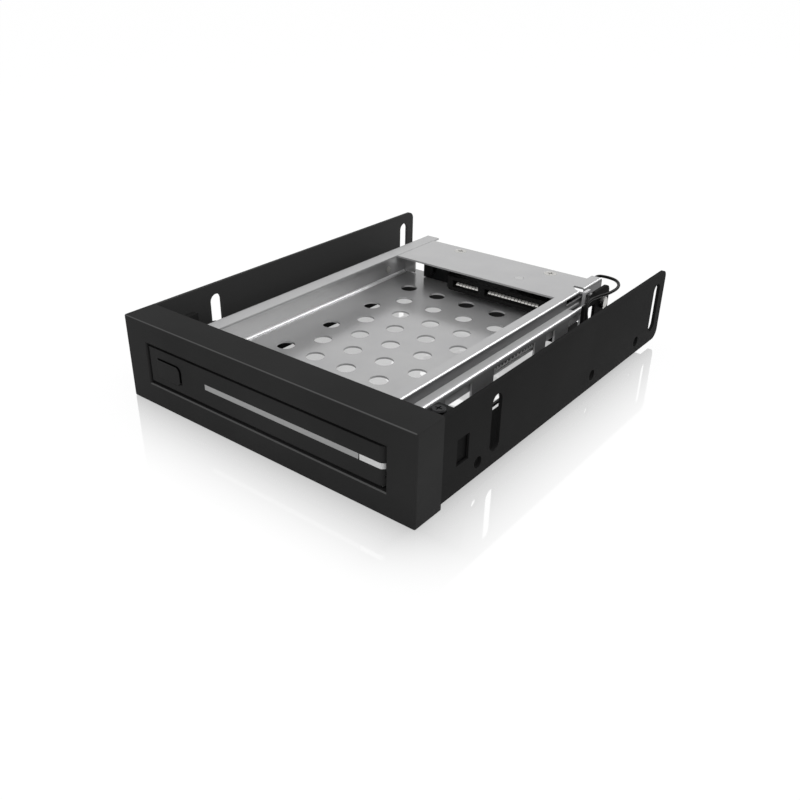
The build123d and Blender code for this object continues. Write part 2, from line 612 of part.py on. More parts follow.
def cut_tray_slots():
    """Slot and notch for the lever, and the holes for the pivot and the screws."""
    sweep_low = LEVER_PIVOT_BACK - SLIDE_TRAVEL / 2 - LEVER_ARM_WIDTH
    slab(TRAY_INNER_RIGHT - OVERRUN, TRAY_RIGHT + OVERRUN, sweep_low, LEVER_NOTCH_REAR,
         LEVER_SLOT_LOW, BRIDGE_UNDER, Mode.SUBTRACT)
    with BuildSketch(Plane.XY.offset(BRIDGE_UNDER - OVERRUN)) as notch:
        with BuildLine():
            Polyline(
                (TRAY_RIGHT + OVERRUN, FRONT + LEVER_NOTCH_FRONT),
                (TRAY_RIGHT - RIGHT_RAIL / 2, FRONT + LEVER_NOTCH_FRONT + OVERRUN),
                (TRAY_RIGHT - RIGHT_RAIL, FRONT + LEVER_NOTCH_REAR - OVERRUN),
                (TRAY_RIGHT - RIGHT_RAIL, FRONT + LEVER_NOTCH_REAR),
                (TRAY_RIGHT + OVERRUN, FRONT + LEVER_NOTCH_REAR),
                close=True,
            )
        make_face()
    extrude(notch.sketch, amount=TRAY_THICK + 2 * OVERRUN, mode=Mode.SUBTRACT)
    round_bar(Plane.XY.offset(BRIDGE_UNDER), [(LEVER_PIVOT_X, FRONT + LEVER_PIVOT_BACK)],
              LEVER_PIN_RADIUS + FIT, TRAY_THICK, Mode.SUBTRACT)
    bridge_screws = [(x, FRONT + BRIDGE_SCREW_BACK) for x in HOLDER_EAR_PLACES]
    cut_countersinks(BRIDGE_UNDER, TRAY_TOP, bridge_screws, BRIDGE_SCREW_RADIUS,
                     BRIDGE_SCREW_HEAD)
    floor_screws = [(x, FRONT + BEZEL_DEPTH + SILL_SHELF / 2) for x in tray_screw_places()]
    cut_countersinks(TRAY_UNDER, TRAY_FLOOR, floor_screws, TRAY_SCREW_RADIUS, TRAY_SCREW_HEAD)
    left_middle = (LEFT_LUG_FRONT + LEFT_LUG_REAR) / 2
    round_bar(Plane.YZ.offset(TRAY_LEFT), [(FRONT + left_middle, LEFT_HOLE_HEIGHT)],
              LUG_SCREW_RADIUS + FIT, TRAY_THICK, Mode.SUBTRACT)
    round_bar(Plane.YZ.offset(TRAY_INNER_RIGHT), [(FRONT + LUG_HOLE_BACK, LUG_HOLE_HEIGHT)],
              LUG_SCREW_RADIUS + FIT, TRAY_THICK, Mode.SUBTRACT)


def cut_countersinks(low, high, places, shank, head):
    """Sunk holes that open upwards through a sheet between two heights."""
    depth = high - low
    for x, y in places:
        with Locations((x, y, (low + high) / 2)):
            Cone(shank + FIT, head + FIT, depth, mode=Mode.SUBTRACT)


def make_sunk_screws(name, top, sheet, places, shank, head, length):
    """Group of countersunk screws, flush with the upper face that they hold."""
    with BuildPart() as screws:
        for x, y in places:
            with Locations((x, y, top - sheet / 2)):
                Cone(shank, head, sheet)
            with Locations((x, y, top - sheet - length / 2)):
                Cylinder(shank, length)
            with Locations((x, y, top)):
                Box(head, shank / 3, sheet, mode=Mode.SUBTRACT)
                Box(shank / 3, head, sheet, mode=Mode.SUBTRACT)
    save(screws, name)


def make_channel_cover():
    """Angle along the tray's right wall that covers the slide, with four windows."""
    with BuildPart() as channel_cover:
        with BuildSketch(upright(CHANNEL_REAR)):
            with BuildLine():
                FilletPolyline(
                    (TRAY_RIGHT, CHANNEL_TOP),
                    (CHANNEL_RIGHT, CHANNEL_TOP),
                    (CHANNEL_RIGHT, CHANNEL_LOW),
                    radius=TRAY_BEND,
                )
                offset(amount=TRAY_THICK, side=Side.RIGHT)
            make_face()
        extrude(amount=CHANNEL_REAR - CHANNEL_FRONT)
        for near, far in WINDOW_PLACES:
            slab(CHANNEL_INNER - OVERRUN, CHANNEL_RIGHT + OVERRUN, near, far, WINDOW_LOW,
                 WINDOW_HIGH, Mode.SUBTRACT)
        tail_front = LEVER_TIP_BACK - SLIDE_TRAVEL - TAIL_HOLE_HALF - 2 * SLIDE_TAIL_WALL
        slab(SLIDE_LEFT - CLEAR, SLIDE_RIGHT + CLEAR, tail_front, CHANNEL_REAR + OVERRUN,
             CHANNEL_TOP - TRAY_THICK, CHANNEL_TOP, Mode.SUBTRACT)
        slab(TRAY_RIGHT + CLEAR, CHANNEL_INNER + TRAY_THICK / 2, SPRING_FRONT - SPRING_TAB,
             SPRING_FRONT, SPRING_HEIGHT - SPRING_RADIUS, SPRING_HEIGHT + SPRING_RADIUS)
        for near, far in WELD_TAB_PLACES:
            slab(TRAY_RIGHT, TRAY_RIGHT + TRAY_THICK, near, far, WELD_TAB_LOW, CHANNEL_TOP)
    save(channel_cover, "channel_cover")


def make_door():
    """Door leaf with its hinge barrel, latch box, strip groove and the ejector's finger."""
    low, high = DOOR_LOW, DOOR_HIGH
    with BuildPart() as door:
        with BuildSketch(Plane.XY.offset(low)) as plan:
            with BuildLine():
                Polyline(
                    (DOOR_LEFT, FRONT + DOOR_RECESS),
                    (DOOR_RIGHT, FRONT + DOOR_RECESS),
                    (DOOR_RIGHT, FRONT + DOOR_BACK),
                    (BOX_RIGHT, FRONT + DOOR_BACK),
                    (BOX_RIGHT, FRONT + LATCH_BOX_BACK),
                    (DOOR_LEFT, FRONT + LATCH_BOX_BACK),
                    close=True,
                )
            make_face()
            fillet(plan.vertices().group_by(Axis.X)[-1].sort_by(Axis.Y)[0], DOOR_CORNER)
        extrude(amount=high - low)
        hinge = (HINGE_X, FRONT + HINGE_BACK)
        round_bar(Plane.XY.offset(low), [hinge], HINGE_BARREL_RADIUS, high - low)
        slab(DOOR_LEFT + DOOR_WALL, BOX_RIGHT - DOOR_WALL, DOOR_RECESS + DOOR_SKIN,
             LATCH_BOX_BACK, low + DOOR_WALL, high - DOOR_WALL, Mode.SUBTRACT)
        round_bar(upright(LATCH_BOX_BACK), door_boss_places(), DOOR_BOSS_RADIUS,
                  LATCH_BOX_BACK - DOOR_RECESS - DOOR_SKIN)
        round_bar(upright(LATCH_BOX_BACK), door_boss_places(), DOOR_SCREW_RADIUS + FIT,
                  LATCH_BOX_BACK - DOOR_RECESS - DOOR_SKIN - DOOR_WALL, Mode.SUBTRACT)
        cut_door_openings()
        add_door_finger()
        round_bar(Plane.XY.offset(low), [hinge], HINGE_PIN_RADIUS + FIT, high - low,
                  Mode.SUBTRACT)
    save(door, "door")


def door_boss_places():
    """Middles of the two screw bosses in the latch box."""
    left = DOOR_LEFT + DOOR_BOSS_INSET
    right = BOX_RIGHT - DOOR_WALL - DOOR_BOSS_INSET
    return [(left, DOOR_BOSS_HEIGHT), (right, DOOR_BOSS_HEIGHT)]


def cut_door_openings():
    """Button hole, bolt slot, strip groove, and the recess that clears the slide's tab."""
    with BuildSketch(upright(DOOR_RECESS + DOOR_SKIN)) as hole:
        with Locations(((BUTTON_LEFT + BUTTON_RIGHT) / 2, (BUTTON_LOW + BUTTON_HIGH) / 2)):
            Rectangle(BUTTON_RIGHT - BUTTON_LEFT + 2 * BUTTON_GAP,
                      BUTTON_HIGH - BUTTON_LOW + 2 * BUTTON_GAP)
        fillet(hole.vertices().group_by(Axis.X)[-1], BUTTON_CORNER + BUTTON_GAP)
    extrude(hole.sketch, amount=DOOR_SKIN + OVERRUN, mode=Mode.SUBTRACT)
    slab(DOOR_LEFT - OVERRUN, DOOR_LEFT + DOOR_WALL + OVERRUN, bolt_front() - CLEAR,
         LATCH_BOX_BACK, BOLT_LOW - CLEAR, BOLT_NOSE_TOP + CLEAR, Mode.SUBTRACT)
    slab(LIGHT_LEFT, DOOR_RIGHT + OVERRUN, DOOR_RECESS - OVERRUN, DOOR_RECESS + LIGHT_DEPTH,
         LIGHT_LOW, LIGHT_HIGH, Mode.SUBTRACT)
    slab(HINGE_X - FINGER_RADIUS - FINGER_PIN_RADIUS - OVERRUN, DOOR_RIGHT + OVERRUN,
         DOOR_RECESS + DOOR_POCKET_SKIN, HINGE_BACK + HINGE_BARREL_RADIUS + OVERRUN,
         SLIDE_LOW - CLEAR, SLIDE_LOW + SLIDE_TAB_THICK + CLEAR, Mode.SUBTRACT)


def bolt_front():
    """Distance of the latch bolt's front face behind the bezel's front."""
    return LATCH_BOX_BACK - CLEAR - BOLT_THICK


def add_door_finger():
    """Finger behind the door whose pin draws the ejector slide forwards."""
    slab(FINGER_PIN_X - FINGER_WIDTH / 2, FINGER_PIN_X + FINGER_WIDTH / 2, DOOR_BACK - FIT,
         FINGER_PIN_BACK, FINGER_LOW, FINGER_TOP)
    pin_place = (FINGER_PIN_X, FRONT + FINGER_PIN_BACK)
    round_bar(Plane.XY.offset(FINGER_LOW), [pin_place], FINGER_WIDTH / 2, FINGER_THICK)
    round_bar(Plane.XY.offset(FINGER_LOW), [pin_place], FINGER_PIN_RADIUS,
              SLIDE_LOW + SLIDE_TAB_THICK + CLEAR - FINGER_LOW)


def make_door_back_cover():
    """Plate that closes the latch box, with countersunk holes from behind."""
    with BuildPart() as door_back_cover:
        slab(DOOR_LEFT, BOX_RIGHT, LATCH_BOX_BACK, COVER_BACK, DOOR_LOW, DOOR_HIGH)
        for x, z in door_boss_places():
            with Locations(Location((x, FRONT + (LATCH_BOX_BACK + COVER_BACK) / 2, z),
                                    (-90, 0, 0))):
                Cone(DOOR_SCREW_RADIUS + FIT, DOOR_SCREW_HEAD + FIT, COVER_THICK,
                     mode=Mode.SUBTRACT)
    save(door_back_cover, "door_back_cover")


def make_door_screws():
    """Two small countersunk screws that hold the latch box's plate."""
    length = LATCH_BOX_BACK - DOOR_RECESS - DOOR_SKIN - DOOR_WALL - CLEAR
    with BuildPart() as door_screws:
        for x, z in door_boss_places():
            with Locations(Location((x, FRONT + (LATCH_BOX_BACK + COVER_BACK) / 2, z),
                                    (-90, 0, 0))):
                Cone(DOOR_SCREW_RADIUS, DOOR_SCREW_HEAD, COVER_THICK)
        round_bar(upright(LATCH_BOX_BACK), door_boss_places(), DOOR_SCREW_RADIUS, length)
    save(door_screws, "door_screws")


def make_light_strip():
    """Long light guide set into the door's face."""
    with BuildPart() as light_strip:
        slab(LIGHT_LEFT, LIGHT_SPLIT, DOOR_RECESS, DOOR_RECESS + LIGHT_DEPTH, LIGHT_LOW,
             LIGHT_HIGH)
    save(light_strip, "light_strip")


def make_led_window():
    """Short lens beside the light guide that follows the door's rounded end."""
    with BuildPart() as led_window:
        with BuildSketch(Plane.XY.offset(LIGHT_LOW)) as plan:
            with BuildLine():
                Polyline(
                    (LIGHT_SPLIT + LIGHT_SPLIT_GAP, FRONT + DOOR_RECESS),
                    (DOOR_RIGHT, FRONT + DOOR_RECESS),
                    (DOOR_RIGHT, FRONT + DOOR_BACK),
                    (LIGHT_SPLIT + LIGHT_SPLIT_GAP, FRONT + DOOR_BACK),
                    close=True,
                )
            make_face()
            fillet(plan.vertices().group_by(Axis.X)[-1].sort_by(Axis.Y)[0], DOOR_CORNER)
        extrude(amount=LIGHT_HIGH - LIGHT_LOW)
        slab(LIGHT_SPLIT, DOOR_RIGHT + OVERRUN, DOOR_RECESS + LIGHT_DEPTH, DOOR_BACK + OVERRUN,
             LIGHT_LOW, LIGHT_HIGH, Mode.SUBTRACT)
    save(led_window, "led_window")


def make_eject_button():
    """Button cap with its lip behind the door's skin and the wedge that drives the bolt."""
    lip_front = DOOR_RECESS + DOOR_SKIN + CLEAR
    lip_back = lip_front + BUTTON_LIP_THICK
    with BuildPart() as eject_button:
        with BuildSketch(upright(lip_front)) as cap:
            with Locations(((BUTTON_LEFT + BUTTON_RIGHT) / 2, (BUTTON_LOW + BUTTON_HIGH) / 2)):
                Rectangle(BUTTON_RIGHT - BUTTON_LEFT, BUTTON_HIGH - BUTTON_LOW)
            fillet(cap.vertices().group_by(Axis.X)[-1], BUTTON_CORNER)
        extrude(amount=lip_front)
        fillet(eject_button.faces().sort_by(Axis.Y)[0].edges(), OPENING_EDGE)
        slab(BUTTON_LEFT - BUTTON_LIP, BUTTON_RIGHT + BUTTON_LIP, lip_front, lip_back,
             BUTTON_LOW, BUTTON_HIGH + BUTTON_LIP_TOP)
        wedge_left = BUTTON_RIGHT + BUTTON_LIP
        with BuildSketch(Plane.XY.offset(WEDGE_LOW)):
            with BuildLine():
                Polyline(
                    (wedge_left - OVERRUN, FRONT + lip_front),
                    (wedge_left + WEDGE_WIDTH, FRONT + lip_front),
                    (wedge_left, FRONT + lip_front + WEDGE_WIDTH),
                    (wedge_left - OVERRUN, FRONT + lip_front + WEDGE_WIDTH),
                    close=True,
                )
            make_face()
        extrude(amount=WEDGE_HIGH - WEDGE_LOW)
    save(eject_button, "eject_button")


def make_latch_bolt():
    """Sliding bolt: nose at the door's left end, bar under the button, cam face at its right."""
    front = bolt_front()
    back = front + BOLT_THICK
    lip_front = DOOR_RECESS + DOOR_SKIN + CLEAR
    cam_left = BUTTON_RIGHT + BUTTON_LIP
    cam_right = cam_left + CAM_WIDTH
    reach = WEDGE_WIDTH + CLEAR / cos(radians(45))
    with BuildPart() as latch_bolt:
        nose = DOOR_LEFT - BOLT_PROUD
        slab(nose, cam_right, front, back, BOLT_LOW, BOLT_BAR_TOP)
        slab(nose, nose + BOLT_NOSE, front, back, BOLT_LOW, BOLT_NOSE_TOP)
        with BuildSketch(Plane.XY.offset(BOLT_LOW)):
            with BuildLine():
                Polyline(
                    (cam_left + reach, FRONT + lip_front),
                    (cam_right, FRONT + lip_front),
                    (cam_right, FRONT + back),
                    (cam_left, FRONT + back),
                    (cam_left, FRONT + lip_front + reach),
                    close=True,
                )
            make_face()
        extrude(amount=WEDGE_HIGH - BOLT_LOW)
        nose_edge = latch_bolt.edges().filter_by(Axis.Z).group_by(Axis.X)[0].sort_by(Axis.Y)[0]
        chamfer(nose_edge, BOLT_PROUD)
    save(latch_bolt, "latch_bolt")


def make_spring(name, place, near, far, radius, wire):
    """Sleeve that a coil spring fills, between two distances behind the bezel's front."""
    with BuildPart() as spring:
        with BuildSketch(upright(far)):
            with Locations(place):
                Circle(radius)
                Circle(radius - wire, mode=Mode.SUBTRACT)
        extrude(amount=far - near)
    save(spring, name)


def make_springs():
    """Return spring in the slide's window and the small spring behind the button."""
    middle = TRAY_RIGHT + (CHANNEL_WIDTH - TRAY_THICK) / 2
    make_spring("return_spring", (middle, SPRING_HEIGHT), SPRING_FRONT, SPRING_REAR,
                SPRING_RADIUS, SPRING_WIRE)
    lip_back = DOOR_RECESS + DOOR_SKIN + CLEAR + BUTTON_LIP_THICK
    button_middle = ((BUTTON_LEFT + BUTTON_RIGHT) / 2, (BUTTON_LOW + BUTTON_HIGH) / 2)
    make_spring("button_spring", button_middle, lip_back, LATCH_BOX_BACK,
                BUTTON_SPRING_RADIUS, BUTTON_SPRING_WIRE)


def make_hinge_pin():
    """Upright pin that the door turns on, held in the frame above and below."""
    low = OPENING_LOW - FRAME_WALL
    with BuildPart() as hinge_pin:
        round_bar(Plane.XY.offset(low), [(HINGE_X, FRONT + HINGE_BACK)], HINGE_PIN_RADIUS,
                  OPENING_HIGH + FRAME_WALL - low)
    save(hinge_pin, "hinge_pin")


def make_ejector_slide():
    """Strip in the side channel: slotted tab in front, spring window, upright tail with a hole."""
    tail_back = LEVER_TIP_BACK + TAIL_HOLE_HALF + SLIDE_TAIL_WALL
    tail_front = LEVER_TIP_BACK - TAIL_HOLE_HALF - SLIDE_TAIL_WALL
    with BuildPart() as ejector_slide:
        with BuildSketch(Plane.YZ.offset(SLIDE_LEFT)):
            with BuildLine():
                Polyline(
                    (FRONT + SLIDE_FRONT, SLIDE_LOW),
                    (FRONT + SLIDE_WAIST_FRONT, SLIDE_LOW),
                    (FRONT + SLIDE_WAIST_FRONT, SLIDE_WAIST_LOW),
                    (FRONT + tail_back, SLIDE_WAIST_LOW),
                    (FRONT + tail_back, SLIDE_TAIL_HIGH),
                    (FRONT + tail_front, SLIDE_TAIL_HIGH),
                    (FRONT + tail_front, SLIDE_HIGH),
                    (FRONT + SLIDE_FRONT, SLIDE_HIGH),
                    close=True,
                )
            make_face()
            with Locations((FRONT + LEVER_TIP_BACK, (LEVER_LOW + LEVER_HIGH) / 2)):
                Rectangle(2 * TAIL_HOLE_HALF, LEVER_THICK + 2 * CLEAR, mode=Mode.SUBTRACT)
            window_front = SPRING_FRONT - SPRING_TAB - CLEAR
            with Locations((FRONT + (window_front + SPRING_REAR) / 2, SPRING_HEIGHT)):
                Rectangle(SPRING_REAR - window_front, 2 * (SPRING_RADIUS + CLEAR),
                          mode=Mode.SUBTRACT)
        extrude(amount=SLIDE_THICK)
        tab_right = FINGER_PIN_X + SLIDE_TAB_HALF + SLIDE_TAB_WALL
        slab(SLIDE_LEFT, tab_right, SLIDE_FRONT, SLIDE_FRONT + 2 * (SLIDE_TAB_HALF
             + SLIDE_TAB_WALL), SLIDE_LOW, SLIDE_LOW + SLIDE_TAB_THICK)
        slot_left = HINGE_X - FINGER_RADIUS - SLIDE_TAB_HALF
        slab(slot_left, FINGER_PIN_X + SLIDE_TAB_HALF, FINGER_PIN_BACK - SLIDE_TAB_HALF,
             FINGER_PIN_BACK + SLIDE_TAB_HALF, SLIDE_LOW, SLIDE_LOW + SLIDE_TAB_THICK,
             Mode.SUBTRACT)
    save(ejector_slide, "ejector_slide")


def make_ejector_lever():
    """Flat lever on the bridge's pivot: tapered arm out to the slide, nose behind the drive."""
    slope = tan(radians(LEVER_ANGLE))
    pivot_y = FRONT + LEVER_PIVOT_BACK
    nose_right = TRAY_INNER_RIGHT - LEVER_NOSE_INSET
    nose_left = nose_right - LEVER_NOSE_WIDTH
    nose_y = FRONT + DRIVE_REAR + CLEAR
    tip_x = LEVER_PIVOT_X + LEVER_REACH * cos(radians(LEVER_ANGLE))

    def arm(x):
        return pivot_y + (x - LEVER_PIVOT_X) * slope

    with BuildPart() as ejector_lever:
        with BuildSketch(Plane.XY.offset(LEVER_LOW)) as plan:
            with BuildLine():
                Polyline(
                    (LEVER_PIVOT_X, pivot_y - LEVER_HUB_RADIUS),
                    (nose_left, arm(nose_left) - LEVER_ARM_WIDTH / 2),
                    (nose_left, nose_y),
                    (nose_right, nose_y),
                    (nose_right, arm(nose_right) - LEVER_TIP_WIDTH / 2),
                    (tip_x, arm(tip_x) - LEVER_TIP_WIDTH / 2),
                    (tip_x, arm(tip_x) + LEVER_TIP_WIDTH / 2),
                    (nose_right, arm(nose_right) + LEVER_TIP_WIDTH / 2),
                    (nose_left, arm(nose_left) + LEVER_ARM_WIDTH / 2),
                    (LEVER_PIVOT_X, pivot_y + LEVER_HUB_RADIUS),
                    close=True,
                )
            make_face()
            fillet(plan.vertices().group_by(Axis.X)[-1], LEVER_TIP_WIDTH / 3)
            with Locations((LEVER_PIVOT_X, pivot_y)):
                Circle(LEVER_HUB_RADIUS)
                Circle(LEVER_PIN_RADIUS + FIT, mode=Mode.SUBTRACT)
        extrude(amount=LEVER_THICK)
    save(ejector_lever, "ejector_lever")


def make_lever_pivot():
    """Headed pin, riveted flush in the bridge, that carries the lever."""
    place = [(LEVER_PIVOT_X, FRONT + LEVER_PIVOT_BACK)]
    head_top = LEVER_LOW - FIT
    with BuildPart() as lever_pivot:
        round_bar(Plane.XY.offset(head_top), place, LEVER_PIN_RADIUS, TRAY_TOP - head_top)
        round_bar(Plane.XY.offset(head_top), place, PIVOT_HEAD_RADIUS, -PIVOT_HEAD_THICK)
    save(lever_pivot, "lever_pivot")


def board_screw_places():
    """Middles of the two screws through the backplane board."""
    height = (BOARD_LOW + BOARD_HIGH) / 2
    return [(BOARD_LEFT + BOARD_SCREW_INSET, height), (BOARD_RIGHT - BOARD_SCREW_INSET / 2, height)]


def make_backplane_board():
    """Upright circuit board that carries the connectors."""
    with BuildPart() as backplane_board:
        slab(BOARD_LEFT, BOARD_RIGHT, BOARD_BACK, BOARD_BACK + BOARD_THICK, BOARD_LOW,
             BOARD_HIGH)
        round_bar(upright(BOARD_BACK + BOARD_THICK), board_screw_places(),
                  BOARD_SCREW_RADIUS + FIT, BOARD_THICK, Mode.SUBTRACT)
    save(backplane_board, "backplane_board")


def make_board_screws():
    """Pan head screws that hold the board to its holder."""
    with BuildPart() as board_screws:
        round_bar(upright(HOLDER_BACK), board_screw_places(), BOARD_SCREW_RADIUS,
                  HOLDER_BACK - BOARD_BACK)
        round_bar(upright(BOARD_BACK), board_screw_places(), BOARD_SCREW_HEAD,
                  SCREW_HEAD_THICK)
    save(board_screws, "board_screws")


def make_board_holder():
    """Sheet angle behind the board, hung from the bridge by two ears."""
    with BuildPart() as board_holder:
        slab(BOARD_LEFT, BOARD_RIGHT, HOLDER_FRONT, HOLDER_BACK, TRAY_FLOOR, HOLDER_HIGH)
        for x in HOLDER_EAR_PLACES:
            left, right = x - HOLDER_EAR_WIDTH / 2, x + HOLDER_EAR_WIDTH / 2
            slab(left, right, HOLDER_FRONT, HOLDER_BACK, BOARD_LOW, BRIDGE_UNDER)
            slab(left, right, HOLDER_FRONT, HOLDER_FRONT + HOLDER_EAR_LENGTH,
                 BRIDGE_UNDER - HOLDER_THICK, BRIDGE_UNDER)
        ear_screws = [(x, FRONT + BRIDGE_SCREW_BACK) for x in HOLDER_EAR_PLACES]
        round_bar(Plane.XY.offset(BRIDGE_UNDER - HOLDER_THICK), ear_screws,
                  BRIDGE_SCREW_RADIUS + FIT, HOLDER_THICK, Mode.SUBTRACT)
        round_bar(upright(HOLDER_BACK), board_screw_places(), BOARD_SCREW_RADIUS + FIT,
                  HOLDER_THICK, Mode.SUBTRACT)
        for left, width in ((DATA_LEFT, DATA_WIDTH), (POWER_LEFT, POWER_WIDTH)):
            slab(left - CLEAR, left + width + CLEAR, HOLDER_FRONT, HOLDER_BACK,
                 HOST_LOW - CLEAR, HOST_HIGH + CLEAR, Mode.SUBTRACT)
    save(board_holder, "board_holder")


def contact_places():
    """Middles of the signal and power contacts along X, in two lists."""
    signal = [CONTACT_SPACING * place for place in range(SIGNAL_CONTACTS)]
    second = signal[-1] + CONTACT_GROUP_GAP
    power = [second + CONTACT_SPACING * place for place in range(POWER_CONTACTS)]
    first = SOCKET_MIDDLE - power[-1] / 2
    return [first + x for x in signal], [first + x for x in power]


def make_drive_connector():
    """Housing for the drive's plug: a recess split by a key, with a tongue in each half."""
    with BuildPart() as drive_connector:
        slab(SOCKET_LEFT, SOCKET_RIGHT, SOCKET_FRONT, BOARD_BACK, SOCKET_LOW, SOCKET_HIGH)
        left_edge = drive_connector.edges().filter_by(Axis.Z).group_by(Axis.Y)[0].sort_by(Axis.X)
        chamfer(left_edge[0], SOCKET_CHAMFER)
        for group in contact_places():
            slab(group[0] - CONTACT_SPACING, group[-1] + CONTACT_SPACING, SOCKET_FRONT,
                 SOCKET_FRONT + SOCKET_DEPTH, SOCKET_LOW + SOCKET_WALL,
                 SOCKET_HIGH - SOCKET_WALL, Mode.SUBTRACT)
            slab(group[0] - CONTACT_SPACING, group[-1] + CONTACT_SPACING, TONGUE_FRONT,
                 SOCKET_FRONT + SOCKET_DEPTH, TONGUE_LOW, TONGUE_HIGH)
        for group in contact_places():
            for x in group:
                slab(x - CONTACT_WIDTH / 2, x + CONTACT_WIDTH / 2, TONGUE_FRONT
                     + CONTACT_INSET, BOARD_BACK, TONGUE_HIGH - CONTACT_THICK, TONGUE_HIGH,
                     Mode.SUBTRACT)
    save(drive_connector, "drive_connector")


def make_drive_contacts():
    """Row of separate spring contacts, seated in the grooves of the tongues."""
    with BuildPart() as drive_contacts:
        for group in contact_places():
            for x in group:
                slab(x - CONTACT_WIDTH / 2, x + CONTACT_WIDTH / 2, TONGUE_FRONT
                     + CONTACT_INSET, BOARD_BACK, TONGUE_HIGH - CONTACT_THICK, TONGUE_HIGH)
    save(drive_contacts, "drive_contacts")


def make_host_header(name, left, width):
    """Rear-facing header: a shroud round a tongue, with a keyed end."""
    with BuildPart() as header:
        slab(left, left + width, HOLDER_FRONT, HOST_REAR, HOST_LOW, HOST_HIGH)
        slab(left + HOST_WALL, left + width - HOST_WALL, HOLDER_BACK + HOST_WALL,
             HOST_REAR + OVERRUN, HOST_LOW + HOST_WALL, HOST_HIGH - HOST_WALL, Mode.SUBTRACT)
        tongue = (HOST_LOW + HOST_HIGH) / 2
        slab(left + 2 * HOST_WALL, left + width - 2 * HOST_WALL, HOLDER_BACK, HOST_REAR
             - HOST_WALL, tongue - HOST_TONGUE / 2, tongue + HOST_TONGUE / 2)
        slab(left + 2 * HOST_WALL, left + 3 * HOST_WALL, HOLDER_BACK, HOST_REAR - HOST_WALL,
             HOST_LOW + HOST_WALL, tongue)
    save(header, name)


def make_side_screws():
    """Screws through the lugs into the tray, and the standoff on the right."""
    left_middle = (LEFT_LUG_FRONT + LEFT_LUG_REAR) / 2
    left_face = TRAY_LEFT - PLATE_THICK
    with BuildPart() as lug_screws:
        right_place = [(FRONT + LUG_HOLE_BACK, LUG_HOLE_HEIGHT)]
        round_bar(Plane.YZ.offset(TRAY_INNER_RIGHT), right_place, LUG_SCREW_RADIUS,
                  LUG_RIGHT - TRAY_INNER_RIGHT)
        round_bar(Plane.YZ.offset(LUG_RIGHT), right_place, LUG_SCREW_HEAD, SCREW_HEAD_THICK)
        left_place = [(FRONT + left_middle, LEFT_HOLE_HEIGHT)]
        round_bar(Plane.YZ.offset(left_face), left_place, LUG_SCREW_RADIUS,
                  PLATE_THICK + TRAY_THICK)
        round_bar(Plane.YZ.offset(left_face), left_place, LUG_SCREW_HEAD, -SCREW_HEAD_THICK)
        chamfer(lug_screws.faces().sort_by(Axis.X)[-1].edges(), CLEAR)
        chamfer(lug_screws.faces().sort_by(Axis.X)[0].edges(), CLEAR)
    save(lug_screws, "lug_screws")
    with BuildPart() as tray_standoff:
        round_bar(Plane.YZ.offset(TRAY_RIGHT), right_place, STANDOFF_RADIUS,
                  LUG_LEFT - TRAY_RIGHT)
        round_bar(Plane.YZ.offset(TRAY_RIGHT), right_place, LUG_SCREW_RADIUS + FIT,
                  LUG_LEFT - TRAY_RIGHT, Mode.SUBTRACT)
    save(tray_standoff, "tray_standoff")


def make_bezel_screws():
    """Pan head screws down through the corner blocks into the bracket."""
    places = [(x, FRONT + BLOCK_SCREW_BACK) for x in block_screw_places()]
    with BuildPart() as bezel_screws:
        round_bar(Plane.XY.offset(PLATE_LOW), places, BLOCK_SCREW_RADIUS,
                  BLOCK_TOP - PLATE_LOW)
        round_bar(Plane.XY.offset(BLOCK_TOP), places, BLOCK_SCREW_HEAD, SCREW_HEAD_THICK)
        chamfer(bezel_screws.faces().sort_by(Axis.Z)[-2:].edges(), CLEAR)
        with BuildSketch(Plane.XY.offset(BLOCK_TOP + SCREW_HEAD_THICK)):
            with Locations(*places):
                Rectangle(BLOCK_SCREW_HEAD, BLOCK_SCREW_RADIUS / 3)
                Rectangle(BLOCK_SCREW_RADIUS / 3, BLOCK_SCREW_HEAD)
        extrude(amount=-SCREW_HEAD_THICK / 2, mode=Mode.SUBTRACT)
    save(bezel_screws, "bezel_screws")


def make_status_led():
    """Round light with a domed nose and a rim, behind the door's lens."""
    with BuildPart() as status_led:
        round_bar(upright(LED_BACK), [(LED_X, LED_HEIGHT)], LED_RADIUS,
                  LED_BACK - LED_FRONT - LED_RADIUS / 2)
        with Locations((LED_X, FRONT + LED_FRONT + LED_RADIUS, LED_HEIGHT)):
            Sphere(LED_RADIUS)
    save(status_led, "status_led")

def make_led_lead():
    """Thin lead from the board, round the lug and forward to the light, as runs and arcs."""
    points = [Vector(TRAY_RIGHT + x, FRONT + y, z) for x, y, z in LEAD_ROUTE]
    radii = []
    for before, here, after in zip(points, points[1:], points[2:]):
        turn = radians((here - before).get_angle(after - here))
        run = min((here - before).length, (after - here).length)
        radii.append(LEAD_ARC_SHARE * run / tan(turn / 2))
    print("lead arc radii", [round(radius, 1) for radius in radii])
    with BuildPart() as led_lead:
        with BuildLine() as route:
            FilletPolyline(*points, radius=radii)
        with BuildSketch(route.line ^ 0):
            Circle(LEAD_RADIUS)
        sweep()
    length = route.wire().length
    share = led_lead.part.volume / (pi * LEAD_RADIUS**2 * length)
    print("lead length", round(length, 1), "volume share", round(share, 3))
    save(led_lead, "led_lead")


